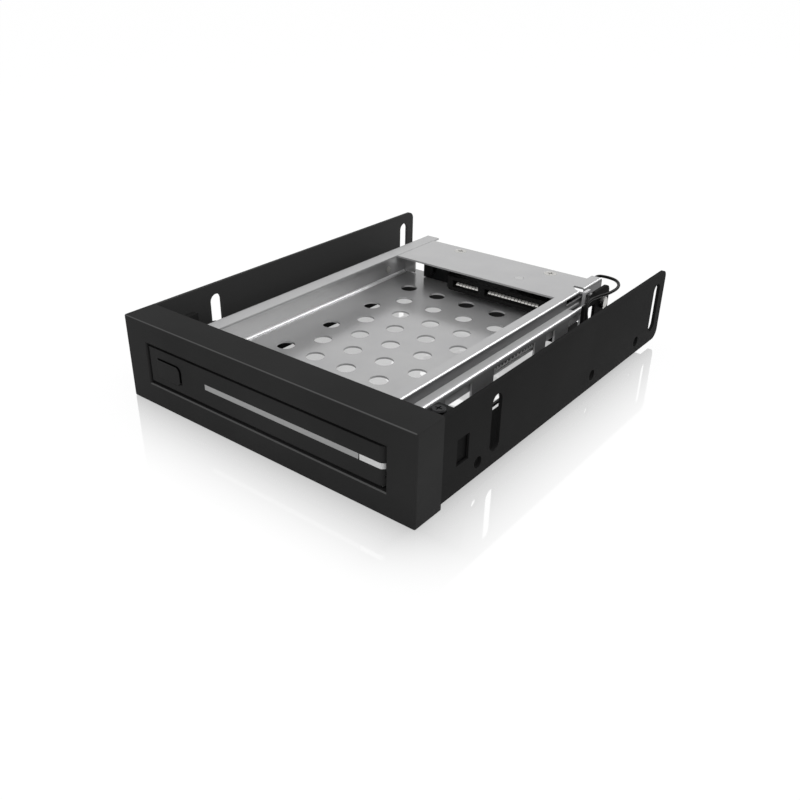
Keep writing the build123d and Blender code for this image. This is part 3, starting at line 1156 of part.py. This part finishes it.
def main():
    """Make every piece and write it."""
    os.makedirs("parts", exist_ok=True)
    make_front_bezel()
    make_mounting_bracket()
    make_drive_tray()
    make_channel_cover()
    make_door()
    make_door_back_cover()
    make_door_screws()
    make_light_strip()
    make_led_window()
    make_eject_button()
    make_latch_bolt()
    make_springs()
    make_hinge_pin()
    make_ejector_slide()
    make_ejector_lever()
    make_lever_pivot()
    make_backplane_board()
    make_board_holder()
    make_board_screws()
    make_drive_connector()
    make_drive_contacts()
    make_host_header("data_header", DATA_LEFT, DATA_WIDTH)
    make_host_header("power_header", POWER_LEFT, POWER_WIDTH)
    make_side_screws()
    make_bezel_screws()
    make_sunk_screws("tray_screws", TRAY_FLOOR, TRAY_THICK,
                     [(x, FRONT + BEZEL_DEPTH + SILL_SHELF / 2) for x in tray_screw_places()],
                     TRAY_SCREW_RADIUS, TRAY_SCREW_HEAD, TRAY_SCREW_LENGTH - CLEAR)
    make_sunk_screws("bridge_screws", TRAY_TOP, TRAY_THICK,
                     [(x, FRONT + BRIDGE_SCREW_BACK) for x in HOLDER_EAR_PLACES],
                     BRIDGE_SCREW_RADIUS, BRIDGE_SCREW_HEAD, HOLDER_THICK)
    make_status_led()
    make_led_lead()
    print("lever angle each way", round(LEVER_ANGLE, 3), "slide travel", round(SLIDE_TRAVEL, 4))


main()
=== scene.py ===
"""Looks of the hot swap drive cage: finishes, fine pieces, lead, stage, light and camera."""
from functools import partial

import bpy
import numpy as np
from mathutils import Matrix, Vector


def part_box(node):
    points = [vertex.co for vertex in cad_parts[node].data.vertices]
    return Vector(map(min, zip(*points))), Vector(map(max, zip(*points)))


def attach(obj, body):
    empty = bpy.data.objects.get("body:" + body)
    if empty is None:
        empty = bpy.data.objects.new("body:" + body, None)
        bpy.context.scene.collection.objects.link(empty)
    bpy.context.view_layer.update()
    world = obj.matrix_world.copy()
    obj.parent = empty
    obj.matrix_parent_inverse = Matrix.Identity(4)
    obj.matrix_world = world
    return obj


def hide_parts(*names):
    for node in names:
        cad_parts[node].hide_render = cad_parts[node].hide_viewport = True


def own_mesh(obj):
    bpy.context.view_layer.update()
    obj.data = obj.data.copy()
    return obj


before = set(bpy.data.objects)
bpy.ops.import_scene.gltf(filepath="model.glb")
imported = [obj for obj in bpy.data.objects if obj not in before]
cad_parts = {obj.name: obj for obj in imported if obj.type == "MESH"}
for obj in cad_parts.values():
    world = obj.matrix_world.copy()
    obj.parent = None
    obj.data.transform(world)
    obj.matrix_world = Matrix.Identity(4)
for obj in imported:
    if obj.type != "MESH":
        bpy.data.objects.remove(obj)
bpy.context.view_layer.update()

# Places and lengths are in millimetres until MM turns them to metres
MM = 0.001

# Outline of the eject button's top and right edges, along which a painted shade line marks its gap, and
# how far past its corner it is followed
BUTTON_LEFT = -38.2
BUTTON_RIGHT = -28.9
BUTTON_LOW = 9.9
BUTTON_HIGH = 15.3
BUTTON_CORNER = 1.5
BUTTON_REACH = 20.0

# Middle of the gap's painted shade line outside the button's edge, and where its half width fades out
GAP_SHADE_MIDDLE = 0.1
GAP_SHADE_FADE = (0.17, 0.3)

# Where painted light and shade in the finishes change along X or Y, each from the first place to the
# second
CLIP_SHADE_X = (47.0, 48.0)
CLIP_SHADE_Y = (-51.2, -50.8)
LEFT_PLATE_LIGHT_X = (-45.0, -40.0)
OUTER_SIDE_SHADE_X = (31.7, 31.9)
LEFT_WALL_LIGHT_X = (-38.6, -38.4)
LEFT_WALL_LIGHT_Y = (-40.0, 35.0)
SPRING_SHADE_X = (0.0, 1.0)
SPRING_SHADE_FADE = 0.3

# Inside of the tray's left bend, where a strip carries a painted highlight
FOLD_RADIUS = 0.9
FOLD_CENTRE_X = -37.8
FOLD_CENTRE_Z = 10.1
FOLD_Y = (-56.0, 46.4)

# Points round a coil's wire, and rings in one turn of it
WIRE_SIDES = 10
TURN_STEPS = 28

# Spacing of the contacts, and the socket's middle, where the third supply contact lies
PITCH = 1.27
SOCKET_MIDDLE = 5.85
SIGNALS = SOCKET_MIDDLE + PITCH * (np.arange(7) - 12)
SUPPLY = SOCKET_MIDDLE + PITCH * (np.arange(15) - 2)

# A finger's free end rises over the first length of Y and falls over the second, by the height
FINGER_RISE = 0.9
FINGER_FALL = 2.2
FINGER_HEIGHT = 0.8
FINGER_WIDTH = 1.05
FINGER_THICK = 0.15

# A gold strip's distances from its header's front, rear and middle height, and its dip at the rear
STRIP_FRONT = 1.2
STRIP_REAR = 1.3
STRIP_HEIGHT = 0.65
STRIP_WIDTH = 0.8
STRIP_THICK = 0.12
DIP_LENGTH = 0.6
DIP_DEPTH = 0.5

# The lead's radius, and the points of its route, whose line stays within 5 mm of the solid lead
LEAD_RADIUS = 0.5
LEAD_ROUTE = (
    (28.8, 48.4, 10.8), (28.8, 55.4, 11.0), (27.6, 60.8, 12.2), (26.4, 64.2, 14.9),
    (28.0, 65.0, 18.0), (32.5, 63.3, 19.0), (37.0, 61.5, 19.3), (40.0, 56.6, 19.3),
    (39.7, 50.3, 19.0), (38.1, 45.7, 19.0), (37.3, 41.2, 18.9), (37.8, 37.8, 17.6),
    (39.2, 36.6, 15.0), (40.2, 34.6, 12.6), (40.7, 28.5, 11.3), (41.4, 20.0, 11.4),
    (42.4, 7.0, 11.5), (43.0, -7.0, 11.4), (43.7, -20.4, 12.0), (44.6, -31.6, 12.7),
    (44.6, -40.4, 13.0), (42.6, -45.4, 13.0), (38.2, -47.8, 13.0), (38.2, -52.0, 13.0),
)

# The floor's mirror image is full up to the first distance from the middle and gone at the second
FLOOR_HALF = 9000.0
IMAGE_X = (49.0, 78.0)
IMAGE_Y = (65.0, 92.0)
IMAGE_SHARE = 0.46
SHADOW_SHARE = 0.08
FLOOR_WHITE = 1.02

# The surround's level as light and as background
SURROUND_LIGHT = 0.72
SURROUND_WHITE = 1.0

# Viewing angle and lens of the photograph, in degrees, millimetres and shares of the frame
AZIMUTH = 39.2415
ELEVATION = 28.0525
ROLL = 0.1659
DISTANCE = 254.156
TARGET = (-1.909, -16.0, -2.435)
FOCAL = 38.016
SENSOR = 36.0
SHIFT = (0.0323, -0.0125)
CLIP_METRES = (0.01, 20.0)


# Colours and node trees

def linear(code):
    """Linear colour of an sRGB hex code."""
    channels = np.array([int(code[i:i + 2], 16) for i in (1, 3, 5)]) / 255
    low = channels / 12.92
    high = ((channels + 0.055) / 1.055) ** 2.4
    return (*np.where(channels <= 0.04045, low, high), 1.0)


def node(tree, kind, *values, out=None, **named):
    """Add a shader node and return the output called out, or else the first one in use.

    The values are for the inputs in use, in their order. A name that starts with a capital is an
    input's, and any other is a setting's. An input takes a number, a colour or a link.
    """
    made = tree.nodes.new("ShaderNode" + kind)
    for name in [name for name in named if name[0].islower()]:
        setattr(made, name, named.pop(name))
    given = list(zip([socket for socket in made.inputs if socket.enabled], values))
    given += [(made.inputs[name.replace("_", " ")], value) for name, value in named.items()]
    for socket, value in given:
        if isinstance(value, bpy.types.NodeSocket):
            tree.links.new(value, socket)
        else:
            socket.default_value = value
    if out:
        return made.outputs[out]
    return next((socket for socket in made.outputs if socket.enabled), None)


def material(name):
    """Empty material, the function that adds its nodes, and its object coordinates."""
    made = bpy.data.materials.new(name)
    made.use_nodes = True
    made.node_tree.nodes.clear()
    add = partial(node, made.node_tree)
    return made, add, add("TexCoord", out="Object")


def button_gap_shade(add, place):
    """Mask of a painted shade line: one along the button's top and right edges, which meet in a round
    corner, and zero elsewhere.

    With qx and qz as the ways past the corner's centre, none being negative, the line is where
    the root of qx squared plus qz squared is the corner's radius plus 0.1 mm.
    """
    past = []
    for axis, edge in (("X", BUTTON_RIGHT), ("Z", BUTTON_HIGH)):
        centre = edge - BUTTON_CORNER
        past.append(add("MapRange", add("SeparateXYZ", place, out=axis), centre * MM,
                        (centre + BUTTON_REACH) * MM, 0.0, BUTTON_REACH))
    reach = add("VectorMath", add("CombineXYZ", X=past[0], Z=past[1]), operation="LENGTH")
    off = add("Math", reach, BUTTON_CORNER + GAP_SHADE_MIDDLE, operation="SUBTRACT")
    line = add("MapRange", add("Math", off, operation="ABSOLUTE"), *GAP_SHADE_FADE, 1.0, 0.0)
    for axis, start in (("X", BUTTON_LEFT), ("Z", BUTTON_LOW)):
        inside = add("MapRange", add("SeparateXYZ", place, out=axis), start * MM, (start + 0.4) * MM)
        line = add("Math", line, inside, operation="MULTIPLY")
    return line


def moulded_abs():
    """Black ABS moulded in a finely eroded tool: matt, its grain coarsened to 0.25 mm to show.

    The upper front edges carry a painted highlight, and painted shade makes the button's gap and the
    bezel's right clip black.
    """
    made, add, place = material("moulded_abs")
    grain = add("TexNoise", Vector=place, Scale=4.0 / MM, Detail=4.0)
    cloud = add("TexNoise", Vector=place, Scale=0.05 / MM, Detail=2.0)
    black = add("Mix", add("MapRange", cloud, 0.3, 0.7), linear("#272727"), linear("#2b2b2b"),
                data_type="RGBA")
    # Painted highlight: faces turned both forward and up, as on the upper front edges, are painted
    # lighter
    facing = add("NewGeometry", out="Normal")
    front = add("Math", add("SeparateXYZ", facing, out="Y"), operation="ABSOLUTE")
    upper = add("Math", front, add("SeparateXYZ", facing, out="Z"), operation="MULTIPLY")
    edge_highlight = add("Mix", add("MapRange", upper, 0.3, 0.48), black, linear("#525252"),
                data_type="RGBA")
    x, y = (add("SeparateXYZ", place, out=axis) for axis in "XY")
    # Painted shade: the bezel's right clip is painted near black
    clip = add("Math", add("MapRange", x, CLIP_SHADE_X[0] * MM, CLIP_SHADE_X[1] * MM),
               add("MapRange", y, CLIP_SHADE_Y[0] * MM, CLIP_SHADE_Y[1] * MM), operation="MULTIPLY")
    # Painted shade: the button's gap line and the bezel's right clip are painted near black
    dark = add("Math", button_gap_shade(add, place), clip, operation="MAXIMUM")
    shader = add("BsdfPrincipled", IOR=1.53, Specular_IOR_Level=0.02,
                 Base_Color=add("Mix", dark, edge_highlight, linear("#020202"), data_type="RGBA"),
                 Roughness=add("MapRange", grain, 0.0, 1.0, 0.48, 0.6),
                 Normal=add("Bump", Height=grain, Strength=0.55, Distance=0.012 * MM))
    add("OutputMaterial", Surface=shader)
    return made


def powder_coat():
    """Black powder coat on steel sheet: matt, soft 0.6 mm orange peel, with painted light making it
    greyer on the left plate.
    """
    made, add, place = material("powder_coat")
    peel = add("TexNoise", Vector=place, Scale=1.6 / MM, Detail=3.0)
    grain = add("TexNoise", Vector=place, Scale=7.0 / MM, Detail=2.0)
    cloud = add("TexNoise", Vector=place, Scale=0.04 / MM, Detail=2.0)
    black = add("Mix", add("MapRange", cloud, 0.3, 0.7), linear("#1b1b1b"), linear("#1f1f1f"),
                data_type="RGBA")
    # Painted light: the left plate is painted a lighter grey
    left = add("MapRange", add("SeparateXYZ", place, out="X"), LEFT_PLATE_LIGHT_X[0] * MM,
               LEFT_PLATE_LIGHT_X[1] * MM, 1.0, 0.0)
    shader = add("BsdfPrincipled", IOR=1.5, Specular_IOR_Level=0.016,
                 Base_Color=add("Mix", left, black, linear("#3a3a3a"), data_type="RGBA"),
                 Roughness=add("MapRange", grain, 0.0, 1.0, 0.5, 0.62),
                 Normal=add("Bump", Height=peel, Strength=0.35, Distance=0.02 * MM))
    add("OutputMaterial", Surface=shader)
    return made


def zinc_sheet(name, low, high, clear, side):
    """Steel with a zinc plate: clear under a thin haze, with faint 0.2 mm lines along Y.

    Painted shade gives the outer faces turned right the side's dull colour. Painted light makes the
    inner face of the left wall lightest at its front, with the plain colour from y 35 mm on.
    """
    made, add, place = material(name)
    lines = add("TexNoise", Vector=add("Mapping", Vector=place, Scale=(1.0, 0.03, 1.0)),
                Scale=5.0 / MM, Detail=3.0)
    cloud = add("TexNoise", Vector=place, Scale=0.06 / MM, Detail=3.0)
    plain = add("Mix", add("MapRange", cloud, 0.25, 0.75), linear(low), linear(high),
                data_type="RGBA")
    x, y = (add("SeparateXYZ", place, out=axis) for axis in "XY")
    facing = add("SeparateXYZ", add("NewGeometry", out="Normal"), out="X")
    # Painted shade: outer faces turned right take the side's dull colour
    outer = inner = add("MapRange", facing, 0.6, 0.9)
    outer = add("Math", outer, add("MapRange", x, OUTER_SIDE_SHADE_X[0] * MM, OUTER_SIDE_SHADE_X[1] * MM),
                operation="MULTIPLY")
    # Painted light: the left wall's inner face is painted lighter, most at its front
    for along, ends in ((x, LEFT_WALL_LIGHT_X), (y, LEFT_WALL_LIGHT_Y)):
        inner = add("Math", inner, add("MapRange", along, ends[0] * MM, ends[1] * MM, 1.0, 0.0),
                    operation="MULTIPLY")
    rough = add("Math", add("MapRange", lines, 0.3, 0.7, 0.16, 0.24),
                add("MapRange", outer, 0.0, 1.0, 0.0, 0.42), operation="MAXIMUM")
    shaded_side = add("Mix", outer, plain, linear(side), data_type="RGBA")
    shader = add("BsdfPrincipled", Metallic=clear, Roughness=rough,
                 Base_Color=add("Mix", inner, shaded_side, linear("#ececec"), data_type="RGBA"),
                 Normal=add("Bump", Height=lines, Strength=0.3, Distance=0.002 * MM))
    add("OutputMaterial", Surface=shader)
    return made


def metal(name, code, low, high, clear=1.0, per_mm=6.0, stretch=(1.0, 1.0, 1.0)):
    """Metal of one colour, with marks one over per_mm wide, and hazier where it is less clear."""
    made, add, place = material(name)
    marks = add("TexNoise", Vector=add("Mapping", Vector=place, Scale=stretch),
                Scale=per_mm / MM, Detail=3.0)
    shader = add("BsdfPrincipled", Base_Color=linear(code), Metallic=clear,
                 Roughness=add("MapRange", marks, 0.0, 1.0, low, high),
                 Normal=add("Bump", Height=marks, Strength=0.3, Distance=0.004 * MM))
    add("OutputMaterial", Surface=shader)
    return made


def spring_wire():
    """Bright drawn wire; the return spring's left half is painted near black as the shade of its
    channel.
    """
    made, add, place = material("spring_wire")
    lo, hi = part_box("return_spring")
    middle = (lo[0] + hi[0]) / 2
    # Painted shade: the coil's far half, left of its middle, is painted near black
    across = add("SeparateXYZ", place, out="X")
    painted_far_shade = add("Math", add("MapRange", across, SPRING_SHADE_X[0] * MM, SPRING_SHADE_X[1] * MM),
              add("MapRange", across, middle - SPRING_SHADE_FADE * MM, middle + SPRING_SHADE_FADE * MM, 1.0, 0.0),
              operation="MULTIPLY")
    marks = add("TexNoise", Vector=place, Scale=6.0 / MM, Detail=3.0)
    shader = add("BsdfPrincipled", Metallic=0.15,
                 Base_Color=add("Mix", painted_far_shade, linear("#fbfbfb"), linear("#161616"), data_type="RGBA"),
                 Roughness=add("MapRange", marks, 0.0, 1.0, 0.3, 0.38))
    add("OutputMaterial", Surface=shader)
    return made


def plastic(name, code, low, high, ior, per_mm=5.0, shine=0.5):
    """Moulded plastic of one colour, with a skin whose grains are one over per_mm wide."""
    made, add, place = material(name)
    skin = add("TexNoise", Vector=place, Scale=per_mm / MM, Detail=3.0)
    shader = add("BsdfPrincipled", Base_Color=linear(code), IOR=ior, Specular_IOR_Level=shine,
                 Roughness=add("MapRange", skin, 0.0, 1.0, low, high),
                 Normal=add("Bump", Height=skin, Strength=0.4, Distance=0.006 * MM))
    add("OutputMaterial", Surface=shader)
    return made


def solder_mask():
    """Black solder mask on glass laminate: glossy, with a faint pattern of lines 0.5 mm apart."""
    made, add, place = material("solder_mask")
    weave = add("TexBrick", Vector=place, Scale=1 / MM, Brick_Width=2.4, Row_Height=0.5,
                Mortar_Size=0.02, out="Fac")
    grain = add("TexNoise", Vector=place, Scale=3.0 / MM, Detail=3.0)
    shader = add("BsdfPrincipled", Base_Color=linear("#101112"), IOR=1.55, Specular_IOR_Level=0.2,
                 Roughness=add("MapRange", grain, 0.0, 1.0, 0.26, 0.38),
                 Normal=add("Bump", Height=weave, Strength=0.3, Distance=0.02 * MM))
    add("OutputMaterial", Surface=shader)
    return made


# Meshes

def surface(name, grids, finish, smooth=True, ring=False):
    """Mesh from grids of points, neighbours joined by quads, in a ring the last column to the first."""
    points, faces, base = [], [], 0
    for grid in grids:
        rows, columns = grid.shape[:2]
        index = np.arange(rows * columns).reshape(rows, columns) + base
        if ring:
            index = np.hstack([index, index[:, :1]])
        quads = np.stack([index[:-1, :-1], index[1:, :-1], index[1:, 1:], index[:-1, 1:]], -1)
        points.append(grid.reshape(-1, 3))
        faces.append(quads.reshape(-1, 4))
        base += rows * columns
    mesh = bpy.data.meshes.new(name)
    mesh.from_pydata(np.concatenate(points) * MM, [], np.concatenate(faces).tolist())
    mesh.polygons.foreach_set("use_smooth", [smooth] * len(mesh.polygons))
    mesh.materials.append(finish)
    made = bpy.data.objects.new(name, mesh)
    bpy.context.collection.objects.link(made)
    return made


def capped(grid):
    """Grid whose first and last rows are drawn in to their middles, so that its ends are closed."""
    first = np.repeat(grid[:1].mean(1, keepdims=True), grid.shape[1], 1)
    last = np.repeat(grid[-1:].mean(1, keepdims=True), grid.shape[1], 1)
    return np.concatenate([first, grid, last])


def coil(x, y0, y1, z, radius, wire, turns):
    """Round wire whose middle goes round a line along Y: x + r cos a, z + r sin a, y rising with a.

    The rise is the share of the way less 0.035 times the sine of that share's whole turn, so that
    the end turns lie close, as on a ground spring.
    """
    share = np.linspace(0, 1, int(turns * TURN_STEPS))
    rise = share - 0.035 * np.sin(2 * np.pi * share)
    angle = 2 * np.pi * turns * share
    radial = np.stack([np.cos(angle), 0 * angle, np.sin(angle)], -1)
    along = np.array([0.0, 1.0, 0.0])
    middle = np.stack([0 * angle + x, y0 + wire + (y1 - y0 - 2 * wire) * rise, 0 * angle + z], -1)
    middle = middle + (radius - wire) * radial
    turn = np.linspace(0, 2 * np.pi, WIRE_SIDES, endpoint=False)
    circle = (np.cos(turn)[None, :, None] * radial[:, None, :]
              + np.sin(turn)[None, :, None] * along[None, None, :])
    return capped(middle[:, None, :] + wire * circle)


def ribbon(path, width, thick, x):
    """Flat strip whose middle line is a path in Y and Z, at x, with its width along X."""
    tangent = np.gradient(path, axis=0)
    tangent /= np.linalg.norm(tangent, axis=1, keepdims=True)
    normal = np.stack([-tangent[:, 1], tangent[:, 0]], -1)
    rows = []
    for across, deep in np.array([(-1, -1), (1, -1), (1, 1), (-1, 1)]) / 2:
        yz = path + normal * deep * thick
        rows.append(np.stack([np.full(len(path), x + across * width), yz[:, 0], yz[:, 1]], -1))
    return capped(np.stack(rows, 1))


def corners_mm(name):
    """Lowest and highest corner of a CAD node in millimetres."""
    lo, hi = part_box(name)
    return np.array(lo) / MM, np.array(hi) / MM


# Finishes of the CAD nodes

ABS = moulded_abs()
COAT = powder_coat()
# Zinc plated sheet: light grey, with soft images of what is near
ZINC = zinc_sheet("zinc_sheet", "#a8a8a9", "#b2b2b2", clear=0.38, side="#5a5a5b")
# Zinc plate under more haze: lighter, with weaker images
HAZED = zinc_sheet("hazed_zinc_cover", "#c0c0c1", "#c8c8c8", clear=0.25, side="#808081")
# Stamped steel: light grey satin
STAMPED = metal("stamped_slide", "#c0c0c1", 0.34, 0.44, clear=0.3)
# Phosphated steel: dark grey satin
GREY = metal("grey_phosphated_lever", "#5c5c5d", 0.36, 0.46, clear=0.7)
# Painted highlight along the sheet's bend: near white, for a narrow light line
FOLD_HIGHLIGHT = metal("painted_fold_highlight", "#f8f8f8", 0.34, 0.4, clear=0.6)
# Turned steel: bright, with marks along X
TURNED = metal("turned_steel", "#b8b8b8", 0.2, 0.32, per_mm=8.0, stretch=(0.1, 1.0, 1.0))
# Nickel plate: bright, a little warm
NICKEL = metal("nickel_screw", "#b9b8b5", 0.24, 0.36)
# Black oxide on steel: near black with soft glints
OXIDE = metal("black_oxide", "#2c2c2d", 0.36, 0.5)
# Drawn spring wire: each turn a light line
WIRE = spring_wire()
# Thin gold plate: yellow and bright
GOLD = metal("gold_flash", "#d8b66a", 0.18, 0.28)
# Tin plate: white and bright
TIN = metal("tinned_contact", "#f4f2ee", 0.24, 0.34, clear=0.5)
# Acrylic light guide, unlit: an even mid grey
GUIDE = plastic("satin_light_guide", "#8c8c8c", 0.3, 0.4, ior=1.49)
# Frosted acrylic lens: light, with a soft shine
LENS = plastic("frosted_lens", "#c4c4c4", 0.2, 0.3, ior=1.49)
# Epoxy lamp body: pale and glossy
LED = plastic("led_epoxy", "#d9dde2", 0.08, 0.14, ior=1.52)
# Glass filled nylon: black satin
LCP = plastic("connector_nylon", "#131313", 0.4, 0.52, ior=1.53, per_mm=3.0, shine=0.12)
# Acetal: black with a waxy shine
ACETAL = plastic("black_acetal", "#1a1a1a", 0.32, 0.44, ior=1.48, shine=0.12)
# Soft vinyl: black with little shine
JACKET = plastic("soft_vinyl_jacket", "#050505", 0.34, 0.42, ior=1.52, per_mm=3.0, shine=0.07)
# Solder mask: black gloss
MASK = solder_mask()

FINISHES = {
    ABS: ("front_bezel", "door", "door_back_cover", "eject_button"),
    COAT: ("mounting_bracket",),
    ZINC: ("drive_tray", "board_holder"),
    HAZED: ("channel_cover",),
    STAMPED: ("ejector_slide",),
    GREY: ("ejector_lever",),
    TURNED: ("hinge_pin", "lever_pivot", "tray_standoff"),
    NICKEL: ("bridge_screws", "tray_screws", "lug_screws"),
    OXIDE: ("board_screws", "bezel_screws", "door_screws"),
    WIRE: ("return_spring", "button_spring"),
    GUIDE: ("light_strip",),
    LENS: ("led_window",),
    LED: ("status_led",),
    LCP: ("drive_connector", "data_header", "power_header"),
    TIN: ("drive_contacts",),
    ACETAL: ("latch_bolt",),
    JACKET: ("led_lead",),
    MASK: ("backplane_board",),
}
for finish, names in FINISHES.items():
    for name in names:
        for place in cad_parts[name].material_slots:
            place.material = finish


# Fine pieces

def make_fold_highlight():
    """Strip with a painted highlight inside the left bend: x and z go round a quarter circle from the
    wall to the floor.
    """
    turn = np.linspace(np.pi, 1.5 * np.pi, 13)
    rows = [np.column_stack([FOLD_CENTRE_X + FOLD_RADIUS * np.cos(turn), np.full(len(turn), y),
                             FOLD_CENTRE_Z + FOLD_RADIUS * np.sin(turn)])
            for y in np.linspace(*FOLD_Y, 24)]
    fold = surface("left_fold_highlight", [np.array(rows)], FOLD_HIGHLIGHT)
    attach(fold, "cage")


def make_spring(sleeve, name, body, wire, turns):
    """Wound spring in place of a sleeve, over the sleeve's whole length."""
    lo, hi = corners_mm(sleeve)
    x, z = (lo[0] + hi[0]) / 2, (lo[2] + hi[2]) / 2
    spring = surface(name, [coil(x, lo[1], hi[1], z, (hi[0] - lo[0]) / 2, wire, turns)], WIRE,
                     ring=True)
    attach(spring, body)
    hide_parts(sleeve)
    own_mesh(spring)


def make_contacts():
    """Sprung fingers: at the free end z rises by a quarter of a sine wave and falls by another."""
    lo, hi = corners_mm("drive_contacts")
    y = lo[1] + 0.1 + (hi[1] - lo[1] - 0.1) * np.linspace(0, 1, 40) ** 2
    rise = np.sin(np.pi / 2 * np.clip((y - y[0]) / FINGER_RISE, 0, 1))
    fall = np.sin(np.pi / 2 * np.clip((y - y[0] - FINGER_RISE) / FINGER_FALL, 0, 1))
    path = np.column_stack([y, hi[2] - 0.1 + FINGER_HEIGHT * (rise - fall)])
    grids = [ribbon(path, FINGER_WIDTH, FINGER_THICK, x) for x in (*SIGNALS, *SUPPLY)]
    fingers = surface("contact_fingers", grids, TIN, smooth=False, ring=True)
    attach(fingers, "cage")
    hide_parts("drive_contacts")


def make_header_contacts():
    """Gold strips along the tongues of the two rear headers.

    Along the dip z falls by its depth times the square of the share of the way.
    """
    grids = []
    for name, count in (("data_header", 7), ("power_header", 15)):
        lo, hi = corners_mm(name)
        middle, top = (lo[0] + hi[0]) / 2, (lo[2] + hi[2]) / 2 + STRIP_HEIGHT
        y = np.linspace(lo[1] + STRIP_FRONT, hi[1] - STRIP_REAR, 24)
        dip = DIP_DEPTH * np.clip((y - y[-1] + DIP_LENGTH) / DIP_LENGTH, 0, 1) ** 2
        path = np.column_stack([y, top - dip])
        grids += [ribbon(path, STRIP_WIDTH, STRIP_THICK, middle + PITCH * (place - (count - 1) / 2))
                  for place in range(count)]
    strips = surface("header_contacts", grids, GOLD, smooth=False, ring=True)
    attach(strips, "cage")


def make_lead():
    """Two core lead of the status light as one spline in a soft black jacket."""
    line = bpy.data.curves.new("status_lead", "CURVE")
    line.dimensions = "3D"
    line.bevel_depth = LEAD_RADIUS * MM
    line.bevel_resolution = 4
    line.use_fill_caps = True
    spline = line.splines.new("NURBS")
    spline.points.add(len(LEAD_ROUTE) - 1)
    places = np.column_stack([np.array(LEAD_ROUTE) * MM, np.ones(len(LEAD_ROUTE))])
    spline.points.foreach_set("co", places.ravel())
    spline.order_u = 3
    spline.use_endpoint_u = True
    spline.resolution_u = 10
    line.materials.append(JACKET)
    lead = bpy.data.objects.new("status_lead", line)
    bpy.context.collection.objects.link(lead)
    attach(lead, "cage")
    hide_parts("led_lead")


make_fold_highlight()
make_spring("return_spring", "return_coil", "cage", wire=0.22, turns=15)
make_spring("button_spring", "button_coil", "door", wire=0.18, turns=4.5)
make_contacts()
make_header_contacts()
make_lead()


# Stage, light and camera

def background_rays(add):
    """One for camera, mirror and transmission rays, and zero for the others, which carry light."""
    seen = [add("LightPath", out=kind)
            for kind in ("Is Camera Ray", "Is Transmission Ray", "Is Glossy Ray")]
    both = add("Math", seen[0], seen[1], operation="MAXIMUM")
    return add("Math", both, seen[2], operation="MAXIMUM")


def make_stage():
    """White gloss floor: seen white, with a faint shadow and a mirror image that fades outwards."""
    made, add, place = material("white_acrylic_floor")
    matt = add("BsdfDiffuse", Color=(1, 1, 1, 1))
    gloss = add("BsdfAnisotropic", Color=(1, 1, 1, 1), Roughness=0.05)
    white = add("Emission", Color=(1, 1, 1, 1), Strength=FLOOR_WHITE)
    away = add("VectorMath", place, operation="ABSOLUTE")
    near = add("Math", *(add("MapRange", add("SeparateXYZ", away, out=axis), ends[0] * MM,
                             ends[1] * MM, 1.0, 0.0)
                         for axis, ends in (("X", IMAGE_X), ("Y", IMAGE_Y))), operation="MULTIPLY")
    share = add("Math", add("Math", near, near, operation="MULTIPLY"), IMAGE_SHARE,
                operation="MULTIPLY")
    image = add("MixShader", share, white, gloss)
    seen = add("MixShader", SHADOW_SHARE, image, matt)
    add("OutputMaterial", Surface=add("MixShader", background_rays(add), matt, seen))
    corners = [[(x, y, 0.0) for x in (-FLOOR_HALF, FLOOR_HALF)] for y in (-FLOOR_HALF, FLOOR_HALF)]
    surface("floor", [np.array(corners)], made, smooth=False)


def make_light():
    """Even white surround, soft lamps above and in front, and a soft box that is only mirrored."""
    world = bpy.data.worlds.new("surround")
    bpy.context.scene.world = world
    world.use_nodes = True
    world.node_tree.nodes.clear()
    add = partial(node, world.node_tree)
    plain = add("Background", Color=(1, 1, 1, 1), Strength=SURROUND_LIGHT)
    white = add("Background", Color=(1, 1, 1, 1), Strength=SURROUND_WHITE)
    add("OutputWorld", Surface=add("MixShader", background_rays(add), plain, white))
    add_lamp("top_lamp", (0.45, 0.1, 0.7), size=0.8, power=2.4).visible_glossy = False
    add_lamp("front_lamp", (0.2, -0.9, 0.4), size=0.6, power=1.0).visible_glossy = False
    add_lamp("fold_lamp", (0.2, 0.68, 0.7), size=0.6, power=5.6).visible_diffuse = False


def add_lamp(name, place, size, power):
    """Square lamp at a place, turned to the object; place and size are in metres, power in watts."""
    lamp = bpy.data.lights.new(name, "AREA")
    lamp.size = size
    lamp.energy = power
    made = bpy.data.objects.new(name, lamp)
    bpy.context.collection.objects.link(made)
    made.location = place
    back = np.array(place) / np.linalg.norm(place)
    made.rotation_euler = Matrix(look_axes(back, 0.0)).transposed().to_euler()
    return made


def look_axes(back, roll):
    """Rows right, up and back of a view whose back axis is given, turned by the roll in radians."""
    right = np.cross((0.0, 0.0, 1.0), back)
    right /= np.linalg.norm(right)
    up = np.cross(back, right)
    cos, sin = np.cos(roll), np.sin(roll)
    return [list(cos * right + sin * up), list(-sin * right + cos * up), list(back)]


def make_camera():
    """Camera at the photograph's angle, distance and framing."""
    azimuth, elevation = np.radians((AZIMUTH, ELEVATION))
    back = np.array([np.sin(azimuth) * np.cos(elevation), -np.cos(azimuth) * np.cos(elevation),
                     np.sin(elevation)])
    data = bpy.data.cameras.new("camera")
    data.lens = FOCAL
    data.sensor_width = SENSOR
    data.shift_x, data.shift_y = SHIFT
    data.clip_start, data.clip_end = CLIP_METRES
    camera = bpy.data.objects.new("camera", data)
    bpy.context.collection.objects.link(camera)
    turn = Matrix(look_axes(back, np.radians(ROLL))).transposed().to_4x4()
    camera.matrix_world = Matrix.Translation((TARGET + back * DISTANCE) * MM) @ turn
    bpy.context.scene.camera = camera


make_stage()
make_light()
make_camera()
bpy.context.scene.view_settings.view_transform = "Standard"
